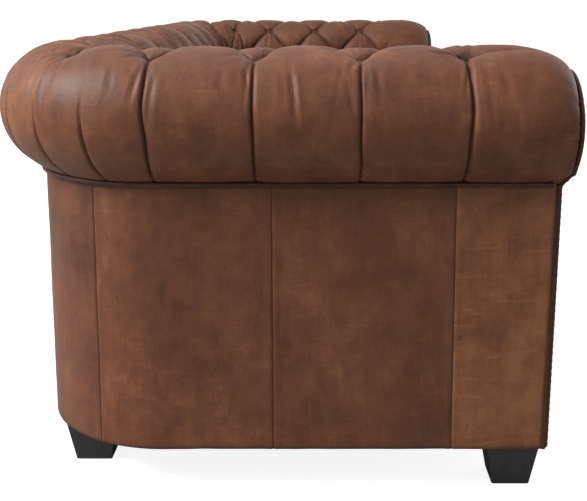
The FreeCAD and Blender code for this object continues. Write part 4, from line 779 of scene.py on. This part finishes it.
def outside_piece(name, start, end, seams, tones, flip, replaced):
    """Leather from start to end along the outside. It can be mirrored to the right."""
    lines = set(np.linspace(start, end, int((end - start) / panel_grid) + 2))
    for seam in seams:
        lines = {t for t in lines if abs(t - seam) > 0.017} | {seam}
        lines |= {seam + sign * step for step in near_seam for sign in (-1, 1)}
    lines = np.array(sorted(lines))
    hem = facing_foot_z + hem_radius * (1 - np.cos(np.linspace(0, math.pi / 2, 6)))
    levels = np.concatenate([hem, np.linspace(hem[-1], outside_top, panel_levels)[1:]])
    t, z = np.meshgrid(lines, levels, indexing="ij")
    apart = np.min(np.abs(t[..., None] - np.array(seams)), axis=-1)

    # How proud the leather stands: slow waves, the seams with their puckers, and the hem.
    proud = 0.0009 * soft_noise(t / 0.12, z / 0.15, 31) + 0.0005 * soft_noise(t / 0.05, z / 0.08, 32)
    proud += seam_swell * np.exp(-((apart - 0.006) / 0.005) ** 2)
    proud -= seam_groove * np.exp(-(apart / groove_width) ** 2)
    proud += 0.0004 * soft_noise(z / 0.011, t / 0.05, 33) * np.exp(-apart / 0.008)
    proud += 0.0008 * soft_noise(t / 0.03, z / 0.2, 34) * np.exp(-(z - facing_foot_z) / 0.02)
    curl = np.clip((facing_foot_z + hem_radius - z) / hem_radius, 0, 1)
    proud -= hem_radius * (1 - np.sqrt(1 - curl**2))
    trim = facing_depth - end_reach
    trim += np.interp(z, [facing_foot_z, neck_low_z], [facing_neck - facing_foot, 0])
    moved = t + trim * np.clip(1 - t / front_panel, 0, 1)
    sides = np.stack([outside_point(moved, z, proud), outside_point(moved, z, 0 * z - leather_thickness)])

    # Painted shade: a line in each seam's groove, a dark band just under the roll with a softer one below
    # it as the roll's shadow, and a band along the turned hem at the bottom.
    painted_shade = 0.5 * np.exp(-(apart / groove_width) ** 2)
    painted_shade = np.maximum(painted_shade, 0.7 * smooth(z, outside_top - 0.012, outside_top))
    painted_shade = np.maximum(painted_shade, 0.3 * smooth(z, outside_top - 0.06, outside_top))
    painted_shade = np.maximum(painted_shade, 0.7 * (1 - smooth(z, facing_foot_z, facing_foot_z + 0.009)))
    panel = np.searchsorted(seams, t)
    masks = {"painted_shade": [painted_shade] * 2, "tone": [np.array(tones)[panel]] * 2,
             "wear_and_highlight": [np.where(panel == 0, 1.0, 0.2)] * 2}
    piece = mesh_piece(name, sides * [-1 if flip else 1, 1, 1], shell_faces(*t.shape, flip),
                       outside_finish, masks)
    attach(piece, "root")
    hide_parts(replaced)


outside_finish = hide_finish("waxed_brown_panels", tone=0.02, offset=(0.3, 0.7, 0.1))
side_seams = [front_panel, front_panel + side_panel, front_panel + 2 * side_panel]
side_tones = [0.9, -0.05, 0.12, -0.45]
outside_piece("outside_panels_left", 0, corner_end, side_seams, side_tones, False,
              "outside_leather_left")
outside_piece("outside_panels_right", 0, corner_end, side_seams, side_tones[::-1], True,
              "outside_leather_right")
outside_piece("outside_panels_back", corner_end, corner_end + 2 * corner_x,
              [corner_end + back_width * k for k in range(1, 5)], [0.1, -0.1, 0.12, 0.0, -0.08],
              False, "outside_leather_back")


# Piping. A cord in a strip of hide: one length tucked under the roll, and one round the roll's part of
# each facing. The hide is darkened as painted shade, for the shadow under the roll, and the cushions'
# cords share it.
piping_finish = hide_finish("shade_darkened_piping_hide", tone=-2.0, offset=(0.9, 0.2, 0.6))
dress(piping_finish, "roll_welt", "facing_piping")


# Facings. Padded boards covered in hide, one on the front of each scroll board, that step back
# below the roll.
nail_inset, facing_gap = 0.007, 0.0003
straight_levels, round_levels, facing_lines = 130, 34, 48
facing_crown, crown_reach, lip_rise, lip_inset, lip_width = 0.0045, 0.012, 0.0032, 0.0028, 0.0024
end_radius = roll_radius - end_radius_drop - 0.0006
end_z = roll_z - end_centre_drop
end_foot_p = wall_width - (end_radius_drop + 0.0006) / math.cos(lean)
end_across, end_down = end_foot_p - roll_p, end_z - wall_foot_z
end_face_angle = math.acos(end_radius / math.hypot(end_across, end_down))
end_face_angle -= math.atan2(end_down, end_across)
tangent_p = roll_p + end_radius * math.cos(end_face_angle)
tangent_z = end_z + end_radius * math.sin(end_face_angle)
throat_p, throat_rise, shoulder_z, shoulder_reach = 0.0655, 0.012, 0.5629, 0.743


def facing_edges(z, inset=0.0):
    """Where the facing's outer and inner edges lie at a height, as depths p in the wall."""
    radius = end_radius - inset
    half_chord = np.sqrt(np.clip(radius**2 - (z - end_z) ** 2, 0, None))
    neck_z = [under_roll_z, under_roll_z + throat_rise, shoulder_z]
    neck_p = [outside_p + inset, throat_p + inset, roll_p - end_radius * shoulder_reach + inset]
    outer = np.where(z < shoulder_z, np.interp(z, neck_z, neck_p), roll_p - half_chord)
    slope = (end_foot_p - tangent_p) / (tangent_z - wall_foot_z)
    face = tangent_p + (tangent_z - z) * slope - inset / math.cos(lean)
    face = np.minimum(face, end_foot_p - inset)
    return outer, np.where(z > tangent_z, roll_p + half_chord, face)


def close_shell(piece, merge=0.0):
    """Merges points that lie closer than merge, drops what that flattens, and turns the faces
    outwards."""
    shell = bmesh.new()
    shell.from_mesh(piece.data)
    if merge:
        bmesh.ops.remove_doubles(shell, verts=shell.verts, dist=merge)
        bmesh.ops.dissolve_degenerate(shell, edges=shell.edges, dist=merge)
    bmesh.ops.recalc_face_normals(shell, faces=shell.faces)
    shell.to_mesh(piece.data)
    shell.free()


def facing_piece(side, name):
    """A facing on the left, at side 1, or mirrored to the right, at side -1."""
    shares = (1 - np.cos(np.linspace(0, math.pi, facing_lines))) / 2
    rounding = np.sin(np.linspace(0, math.pi / 2, round_levels))
    levels = np.concatenate([np.linspace(facing_foot_z, end_z, straight_levels)[:-1],
                             end_z + end_radius * rounding])
    z, share = np.meshgrid(levels, shares, indexing="ij")
    outer, inner = facing_edges(z)
    p = outer + (inner - outer) * share
    from_edge = np.minimum(np.minimum(p - outer, inner - p), z - facing_foot_z)
    in_roll = end_radius - np.hypot(p - roll_p, z - end_z)
    from_edge = np.where(z > end_z, np.minimum(from_edge, in_roll), from_edge)
    from_edge = np.clip(from_edge, 0, None)

    # The padding stands up inside the nails, and a lip of leather round them.
    crowned = facing_crown * (1 - np.exp(-np.clip(from_edge - nail_inset, 0, None) / crown_reach))
    crowned += lip_rise * np.exp(-((from_edge - lip_inset) / lip_width) ** 2)
    crowned -= lip_rise * np.exp(-from_edge / 0.0016)
    crowned += 0.0007 * soft_noise(p / 0.03, z / 0.05, 41) * smooth(from_edge, 0.008, 0.025)
    board = -facing_front + facing_setback(z)
    depths = (board - crowned, board + facing_depth - end_reach - facing_gap)
    points = [np.stack([side * (-half_length + p), y, z], -1) for y in depths]
    # Painted shade darkens the leather round the facing's edge, by the nails.
    masks = {"painted_shade": [0.85 * np.exp(-from_edge / 0.0018)] * 2}
    piece = mesh_piece(f"facing_{name}_padded", points, shell_faces(*z.shape, side > 0),
                       facing_finish, masks)
    close_shell(piece, 0.00005)
    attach(piece, "root")
    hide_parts(f"facing_panel_{name}")


facing_finish = hide_finish("waxed_facing_hide", tone=0.05, offset=(0.1, 0.5, 0.8))
facing_piece(1, "left")
facing_piece(-1, "right")


# Decorative nails. Antiqued brass domes, driven at an even pitch just inside the edge of each
# facing.
nail_radius, nail_dome, nail_pitch, nail_sides, nail_rings = 0.005, 0.0036, 0.012, 12, 6
nail_sink, nail_turn_z, line_steps, turn_steps = 0.0004, shoulder_z + 0.006, 200, 120
nail_finish, tree, shader, where = new_finish("antiqued_brass")
feed_tones(tree, shader, noise(tree, where, 300, 4, 0.6),
           [(0.3, shade(62, 40, 28)), (0.75, shade(134, 98, 62))], (0.3, 0.5))
shader.inputs["Metallic"].default_value = 1.0


def nail_line():
    """The nails' path round a facing, as depths p and heights z."""
    radius = end_radius - nail_inset
    up = np.linspace(facing_foot_z + nail_inset, nail_turn_z, line_steps)
    outer, _ = facing_edges(up, nail_inset)
    line = list(zip(outer, up))
    rise = nail_turn_z - end_z
    start = math.atan2(rise, -math.sqrt(radius**2 - rise**2)) % (2 * math.pi)
    for angle in np.linspace(start, end_face_angle, turn_steps)[1:]:
        line.append((roll_p + radius * math.cos(angle), end_z + radius * math.sin(angle)))
    down = np.linspace(line[-1][1], facing_foot_z + nail_inset, line_steps)[1:]
    _, inner = facing_edges(down, nail_inset)
    line += list(zip(inner, down))
    line.append((outside_p + nail_inset, facing_foot_z + nail_inset))
    return np.array(line)


line = nail_line()
lengths = np.concatenate([[0], np.cumsum(np.hypot(*np.diff(line, axis=0).T))])
count = round(lengths[-1] / nail_pitch)
along = np.arange(count) * lengths[-1] / count
nail_p, nail_z = np.interp(along, lengths, line[:, 0]), np.interp(along, lengths, line[:, 1])
nail_y = -facing_front + facing_setback(nail_z) - nail_sink
rise = (facing_setback(nail_z + nail_radius) - facing_setback(nail_z - nail_radius)) / (2 * nail_radius)
places, aims = [], []
for side in (1, -1):
    for p, y, z, slope in zip(nail_p, nail_y, nail_z, rise):
        places.append((side * (-half_length + p), y, z))
        aims.append((0, -1, slope))
piece = stamped("brass_nails", places, aims, nail_radius, nail_dome, nail_sides, nail_rings,
                nail_finish)
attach(piece, "root")
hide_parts("facing_nails")


# Seat deck. A felt and foam pad over the springs and a foam roll along the front rail, under one
# tight sheet of dark platform cloth.
deck_low, deck_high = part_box("deck_pad")
edge_low, deck_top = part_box("front_edge_roll")[0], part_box("deck_cloth")[1].z
deck_radii, deck_arc_steps = (0.002, 0.002, 0.002, 0.014), 6
deck_lines, deck_top_points = 90, 40
cloth_finish, tree, shader, where = new_finish("platform_cloth")
threads = weave(tree, where, 0.0016)
mixed = sums(tree, "MULTIPLY_ADD", noise(tree, where, 18, 4), 0.4, sums(tree, "MULTIPLY", threads, 0.6))
feed(tree, shader, ramp(tree, mixed, [(0.3, shade(44, 34, 29)), (0.7, shade(70, 56, 48))]),
     rough_between(tree, threads, 0.95, 0.8), bump(tree, threads, 0.0003))


def tube_faces(rings, around, first=0, closed=False):
    """Faces that join rings of points in a row, and the last ring to the first if closed."""
    ring, at = np.meshgrid(np.arange(rings if closed else rings - 1), np.arange(around), indexing="ij")
    here, ahead, beside = ring * around, (ring + 1) % rings * around, (at + 1) % around
    quads = np.stack([here + at, here + beside, ahead + beside, ahead + at], axis=-1)
    return (first + quads.reshape(-1, 4)).tolist()


def swept_block(profile, x_lines, name, finish, uneven):
    """A closed shape with a profile in y and z, swept along x. uneven moves its points."""
    profile = np.array(profile)
    count, across = len(profile), len(x_lines)
    points = np.stack([np.repeat(x_lines, count), *np.tile(profile.T, across)], -1)
    faces = tube_faces(across, count)
    faces += [list(range(count))[::-1], list(range((across - 1) * count, across * count))]
    piece = mesh_piece(name, uneven(points), faces, finish)
    close_shell(piece)
    return piece


def rounded_profile(low, high, radii, steps):
    """Corners of a box in y and z, each rounded by its own radius, from the low front corner on
    towards the back."""
    corners = [(low[0], low[1], 180), (high[0], low[1], 270), (high[0], high[1], 0), (low[0], high[1], 90)]
    profile = []
    for (y, z, start), radius in zip(corners, radii):
        middle_y = y + (radius if y == low[0] else -radius)
        middle_z = z + (radius if z == low[1] else -radius)
        for angle in np.radians(start + 90 * np.arange(steps + 1) / steps):
            profile.append((middle_y + radius * math.cos(angle), middle_z + radius * math.sin(angle)))
    return profile


def deck_sag(points):
    x, y, z = points.T
    sag = 0.002 * soft_noise(x / 0.2, y / 0.2, 51) * smooth(z, deck_low.z, deck_top)
    return np.stack([x, y, z - np.abs(sag)], -1)


profile = rounded_profile((edge_low.y, edge_low.z), (deck_high.y, deck_top), deck_radii, deck_arc_steps)
top_line = [(y, deck_top)
            for y in np.linspace(deck_high.y - 0.01, edge_low.y + 0.03, deck_top_points)]
three_corners = 3 * (deck_arc_steps + 1)
profile = profile[:three_corners] + top_line + profile[three_corners:]
piece = swept_block(profile, np.linspace(deck_low.x, deck_high.x, deck_lines), "seat_deck",
                    cloth_finish, deck_sag)
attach(piece, "root")
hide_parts("deck_pad", "deck_cloth", "front_edge_roll")


# Front border. Hide over a thin layer of foam on the front rail, between the facings, turned
# under at the bottom.
border_low, border_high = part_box("front_border")
border_radii, border_arc_steps = (0.0045, 0.001, 0.001, 0.0048), 5
border_lines, border_front_points, end_lines = 260, 40, np.array([0, 0.002, 0.005])


def border_unevenness(points):
    x, y, z = points.T
    front = smooth(-y, -border_high.y, -border_low.y)
    ends = np.minimum(x - border_low.x, border_high.x - x)
    pulled = 0.0012 * soft_noise(x / 0.07, z / 0.06, 61) + 0.0006 * soft_noise(x / 0.02, z / 0.05, 62)
    edge = np.exp(-np.clip(ends, 0, None) / 0.004)
    return np.stack([x, y + front * (0.002 * edge - pulled - 0.001), z], -1)


profile = rounded_profile((border_low.y, border_low.z), (border_high.y, border_high.z),
                          border_radii, border_arc_steps)
profile += [(border_low.y, z) for z in np.linspace(border_high.z - 0.006, border_low.z + 0.006,
                                                   border_front_points)]
border_finish = hide_finish("waxed_border_hide", offset=(0.6, 0.9, 0.4))
x_lines = np.concatenate([border_low.x + end_lines,
                          np.linspace(border_low.x + 0.01, border_high.x - 0.01, border_lines),
                          border_high.x - end_lines[::-1]])
piece = swept_block(profile, x_lines, "padded_front_border", border_finish, border_unevenness)
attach(piece, "root")
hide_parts("front_border")


# Seat cushions. Foam cores wrapped in wadding, in boxed covers of hide with piping round their
# top and bottom edges. The pressure of the filling crowns the panels between the piped seams.
cushion_corner, cushion_draw = 0.042, 0.007
seam_rise_low, seam_rise_high = 0.012, 0.13
cord_radius, cord_sides = 0.004, 10
cover_inset, cord_proud = 0.003, 0.0016
arc_points, side_points, wall_rings = 10, 56, 12
cover_voxel, swell_steps, swell_cap, hold_height, hold_depth = 0.0065, 20, 0.024, 0.0045, 0.03
hollow_depth, hollow_x, hollow_y, hollow_forward = 0.004, 0.16, 0.2, 0.03


def cushion_outline(low, high, inset):
    """A plan outline with round corners and sides that pull in between them, at an inset."""
    centre = (low + high) / 2
    half_x, half_y = (high.x - low.x) / 2 - inset, (high.y - low.y) / 2 - inset
    radius = max(cushion_corner + 0.25 * inset, 0.01)
    radius = min(radius, 0.83 * min(half_x, half_y))
    line = []
    corners = [(1, -1, -90), (1, 1, 0), (-1, 1, 90), (-1, -1, 180)]
    for k, (sign_x, sign_y, start) in enumerate(corners):
        at_x, at_y = sign_x * (half_x - radius), sign_y * (half_y - radius)
        for step in range(arc_points):
            angle = math.radians(start + 90 * step / (arc_points - 1))
            line.append((at_x + radius * math.cos(angle), at_y + radius * math.sin(angle)))
        next_x, next_y, _ = corners[(k + 1) % 4]
        from_x, from_y = line[-1]
        to_x = next_x * (half_x - radius) + radius * math.cos(math.radians(start + 90))
        to_y = next_y * (half_y - radius) + radius * math.sin(math.radians(start + 90))
        for share in np.linspace(0, 1, side_points)[1:-1]:
            pull = 4 * share * (1 - share) * cushion_draw * max(1 - inset / 0.15, 0)
            x, y = from_x + (to_x - from_x) * share, from_y + (to_y - from_y) * share
            line.append((x - sign_x * pull, y) if k % 2 == 0 else (x, y - sign_y * pull))
    return np.array(line) + [centre.x, centre.y]


def seam_heights(low):
    return low.z + seam_rise_low, low.z + seam_rise_high


def cushion_blank(name, low, high):
    """A closed cushion before its filling swells it: rings at an inset and a height."""
    seams = seam_heights(low)
    rings = [(0.2, low.z + 0.001), (0.15, low.z + 0.001), (0.09, low.z + 0.0015), (0.045, low.z + 0.003),
             (0.02, low.z + 0.0055), (0.007, low.z + 0.009), (0.0, seams[0])]
    rings += [(0.0, seams[0] + share * (seams[1] - seams[0]))
              for share in np.linspace(0, 1, wall_rings)[1:]]
    rings += [(0.007, seams[1] + 0.003), (0.02, seams[1] + 0.006), (0.045, seams[1] + 0.0105),
              (0.09, seams[1] + 0.015), (0.15, seams[1] + 0.018), (0.2, seams[1] + 0.019)]
    lines = [cushion_outline(low, high, inset) for inset, _ in rings]
    around = len(lines[0])
    points = [(x, y, z) for line, (_, z) in zip(lines, rings) for x, y in line]
    faces = tube_faces(len(rings), around)
    centre = (low + high) / 2
    points += [(centre.x, centre.y, rings[0][1]), (centre.x, centre.y, rings[-1][1])]
    last = (len(rings) - 1) * around
    for j in range(around):
        faces.append([(j + 1) % around, j, len(points) - 2])
        faces.append([last + j, last + (j + 1) % around, len(points) - 1])
    return mesh_piece(name, points, faces, cushion_finish)


def inside_cushion(points, low, high):
    """How far points lie inside the x sides and the y sides, and from the nearer seam's height."""
    centre = (low + high) / 2
    from_x = (high.x - low.x) / 2 - np.abs(points[:, 0] - centre.x)
    from_y = (high.y - low.y) / 2 - np.abs(points[:, 1] - centre.y)
    return from_x, from_y, np.min([np.abs(points[:, 2] - z) for z in seam_heights(low)], axis=0)


def swell(piece, low, high):
    """Fills the cushion: its cover is cloth under pressure, held along the piped seams."""
    remesh = piece.modifiers.new("even", "REMESH")
    remesh.mode, remesh.voxel_size, remesh.use_smooth_shade = "VOXEL", cover_voxel, True
    even = built_mesh(piece)
    piece.modifiers.clear()
    piece.data = even
    rest = np.array([v.co for v in even.vertices])
    from_x, from_y, from_seam = inside_cushion(rest, low, high)
    held = np.nonzero((from_seam < hold_height) & (np.minimum(from_x, from_y) < hold_depth))[0]
    piece.vertex_groups.new(name="held").add([int(k) for k in held], 1.0, "REPLACE")
    cloth = piece.modifiers.new("cover", "CLOTH")
    settings = {
        "quality": 6, "mass": 0.4, "tension_stiffness": 30, "compression_stiffness": 20,
        "shear_stiffness": 10, "bending_stiffness": 2.0, "use_pressure": True,
        "uniform_pressure_force": 4.5, "vertex_group_mass": "held",
    }
    for name, value in settings.items():
        setattr(cloth.settings, name, value)
    cloth.settings.effector_weights.gravity = 0
    cloth.point_cache.frame_start, cloth.point_cache.frame_end = 1, swell_steps
    for step in range(1, swell_steps + 1):
        bpy.context.scene.frame_set(step)
    swollen = built_mesh(piece)
    moved = np.array([v.co for v in swollen.vertices]) - rest
    far = np.linalg.norm(moved, axis=1, keepdims=True)
    moved *= np.minimum(1, swell_cap / np.maximum(far, 1e-9))
    piece.modifiers.clear()
    piece.vertex_groups.clear()
    piece.data = swollen
    bpy.context.scene.frame_set(1)
    swollen.vertices.foreach_set("co", (rest + moved).astype(np.float32).ravel())
    swollen.update()
    subdivide = piece.modifiers.new("finer", "SUBSURF")
    subdivide.levels = subdivide.render_levels = 1
    piece.data = built_mesh(piece)
    piece.modifiers.clear()


cushion_finish = hide_finish("waxed_cushion_hide", tone=0.08, offset=(0.2, 0.35, 0.9))


def cushion_piece(name, seed):
    """A cushion's cover, with the puckers of its seams and the hollow where it is sat on."""
    low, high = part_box(f"cushion_cover_{name}")
    inset = Vector((cover_inset, cover_inset, 0))
    piece = cushion_blank(f"seat_cushion_{name}", low + inset, high - inset)
    swell(piece, low, high)
    fine = piece.data
    points = np.array([v.co for v in fine.vertices])
    normals = np.array([v.normal for v in fine.vertices])
    x, y, z = points.T
    centre = (low + high) / 2
    from_x, from_y, to_seam = inside_cushion(points, low, high)
    around = np.where(from_x < from_y, y, x)
    from_seam = np.hypot(np.clip(np.minimum(from_x, from_y), 0, None), to_seam)
    puckers = soft_noise(around / 0.014, z / 0.3, seed) * np.exp(-from_seam / 0.018)
    sat_in = np.exp(-((x - centre.x) / hollow_x) ** 2 - ((y - centre.y + hollow_forward) / hollow_y) ** 2)
    sat_in = sat_in * (z > seam_heights(low)[1])
    creases = soft_noise(x / 0.11 + y / 0.3, y / 0.035, seed + 1) * sat_in
    change = 0.0011 * puckers - hollow_depth * sat_in - 0.0009 * creases
    change += 0.0007 * soft_noise(x / 0.03, y / 0.04, seed + 2) * smooth(from_seam, 0, 0.03)
    points += normals * change[:, None]
    points[:, 2] = np.maximum(points[:, 2], low.z + 0.0002)
    fine.vertices.foreach_set("co", points.astype(np.float32).ravel())
    # Painted shade darkens the leather along the piped seams.
    painted_shade = fine.attributes.new("painted_shade", "FLOAT", "POINT")
    painted_shade.data.foreach_set("value", (0.85 * np.exp(-(from_seam / 0.0045) ** 2)).astype(np.float32))
    fine.polygons.foreach_set("use_smooth", np.ones(len(fine.polygons), bool))
    fine.update()
    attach(piece, f"cushion_{name}")
    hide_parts(f"cushion_cover_{name}", f"cushion_core_{name}")


def cushion_cords(name):
    """The piping of a cushion: a covered cord along each of its two seams."""
    low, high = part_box(f"cushion_cover_{name}")
    outline = cushion_outline(low, high, cover_inset - cord_proud)
    tangent = np.roll(outline, -1, axis=0) - np.roll(outline, 1, axis=0)
    tangent /= np.linalg.norm(tangent, axis=1, keepdims=True)
    angle = 2 * math.pi * np.arange(cord_sides) / cord_sides
    radius = cord_radius * (1 + 0.05 * np.sin(1.7 * np.arange(len(outline))))[:, None]
    out, rise = radius * np.cos(angle), radius * np.sin(angle)
    x = outline[:, :1] + tangent[:, 1:] * out
    y = outline[:, 1:] - tangent[:, :1] * out
    points = [np.stack([x, y, z + rise], -1) for z in seam_heights(low)]
    faces = tube_faces(len(outline), cord_sides, closed=True)
    faces += tube_faces(len(outline), cord_sides, x.size, closed=True)
    piece = mesh_piece(f"cushion_cords_{name}", points, faces, piping_finish)
    close_shell(piece)
    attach(piece, f"cushion_{name}")
    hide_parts(f"cushion_piping_{name}")


for number, name in enumerate(("left", "centre", "right")):
    cushion_piece(name, 200 + 10 * number)
    cushion_cords(name)


# Dust cover. A sheet of black non-woven cloth, stapled under the frame and stretched between the
# rails, with its edges turned in.
dust_low, dust_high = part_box("dust_cover")
dust_lines, dust_rows, dust_sag, sag_reach = 140, 60, 0.0007, 0.06
face_depths = (0.0006, 0.0001)
dust_finish, tree, shader, where = new_finish("black_dust_cloth")
feed_tones(tree, shader, noise(tree, where, 420, 5, 0.75),
           [(0.3, shade(20, 20, 21)), (0.7, shade(42, 42, 43))], (0.85, 1.0), 0.0003)


def dust_cover():
    corner = dust_high.x - corner_x
    x, share = np.meshgrid(np.linspace(dust_low.x, dust_high.x, dust_lines),
                           np.linspace(0, 1, dust_rows), indexing="ij")
    into = np.clip(np.abs(x) - corner_x, 0, corner)
    back = dust_high.y - corner + np.sqrt(np.clip(corner**2 - into**2, 0, None))
    y = dust_low.y + (back - dust_low.y) * share
    edge = np.minimum(np.minimum(y - dust_low.y, back - y), dust_high.x - np.abs(x))
    sag = dust_sag * (1 - np.exp(-np.clip(edge, 0, None) / sag_reach))
    sag = sag * (1 + 0.4 * soft_noise(x / 0.2, y / 0.2, 71))
    points = [np.stack([x, y, dust_high.z - below - sag], -1) for below in face_depths]
    piece = mesh_piece("dust_sheet", points, shell_faces(*x.shape), dust_finish)
    close_shell(piece, 0.00002)
    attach(piece, "root")
    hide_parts("dust_cover")


dust_cover()


# Studio. A pale floor and a white surround, a large soft light above the rear corner, and weaker
# ones over the left end, in front and overhead.
def floor_piece():
    finish, tree, shader, where = new_finish("pale_floor")
    feed_tones(tree, shader, noise(tree, where, 3, 3),
               [(0.3, (0.41, 0.41, 0.41)), (0.7, (0.44, 0.44, 0.44))], (0.8, 0.9))
    # The floor looks white where no shadow falls on it.
    rays = place(tree, "ShaderNodeLightPath").outputs
    glow = sums(tree, "MULTIPLY", rays["Is Camera Ray"], 0.88)
    tree.links.new(glow, shader.inputs["Emission Strength"])
    shader.inputs["Emission Color"].default_value = (1, 1, 1, 1)
    span = 30
    corners = [(-span, -span, 0), (span, -span, 0), (span, span, 0), (-span, span, 0)]
    floor = mesh_piece("floor", corners, [[0, 1, 2, 3]], finish)


floor_piece()

world = bpy.data.worlds.new("surround")
bpy.context.scene.world = world
world.use_nodes = True
sky = world.node_tree
sky.nodes.clear()
rays = place(sky, "ShaderNodeLightPath").outputs
lit = place(sky, "ShaderNodeBackground", {"Color": (1, 0.99, 0.98, 1), "Strength": 0.22})
shown = place(sky, "ShaderNodeBackground", {"Color": (1, 1, 1, 1), "Strength": 1.0})
mirrored = sums(sky, "MAXIMUM", rays["Is Glossy Ray"], rays["Is Transmission Ray"])
either = sums(sky, "MAXIMUM", rays["Is Camera Ray"], mirrored)
mixed = place(sky, "ShaderNodeMixShader", {0: either, 1: lit.outputs[0], 2: shown.outputs[0]})
place(sky, "ShaderNodeOutputWorld", {"Surface": mixed.outputs[0]})


def soft_light(name, at, towards, size, power):
    lamp = bpy.data.lights.new(name, "AREA")
    lamp.shape, lamp.size, lamp.energy = "DISK", size, power
    light = bpy.data.objects.new(name, lamp)
    light.location = at
    light.rotation_euler = (Vector(towards) - Vector(at)).to_track_quat("-Z", "Y").to_euler()
    bpy.context.scene.collection.objects.link(light)


soft_light("key", (-1.8, 2.9, 2.8), (-0.5, 0.1, 0.5), 1.9, 240)
soft_light("end_fill", (-3.9, -0.5, 2.6), (-1.0, 0, 0.4), 1.8, 12)
soft_light("front_fill", (1.2, -3.8, 1.8), (0, 0, 0.4), 2.6, 58)
soft_light("overhead", (-0.1, 0.2, 3.4), (-0.2, 0, 0.5), 2.4, 22)

# The camera stands beyond the sofa's left end, a little above the roll. Part of the view below
# it comes from a shift, and the rest from a slight tilt.
image_width, focal_px, tilt = 587, 902, 8.36
camera_data = bpy.data.cameras.new("camera")
camera_data.sensor_width = 36
camera_data.lens = focal_px / image_width * camera_data.sensor_width
camera_data.shift_x, camera_data.shift_y = -0.0434, -0.2
camera = bpy.data.objects.new("camera", camera_data)
camera.location = (-2.3666, -0.0769, 0.8095)
camera.rotation_euler = (math.radians(90 - tilt), 0, -math.pi / 2)
bpy.context.scene.collection.objects.link(camera)
bpy.context.scene.camera = camera
bpy.context.scene.view_settings.view_transform = "Standard"
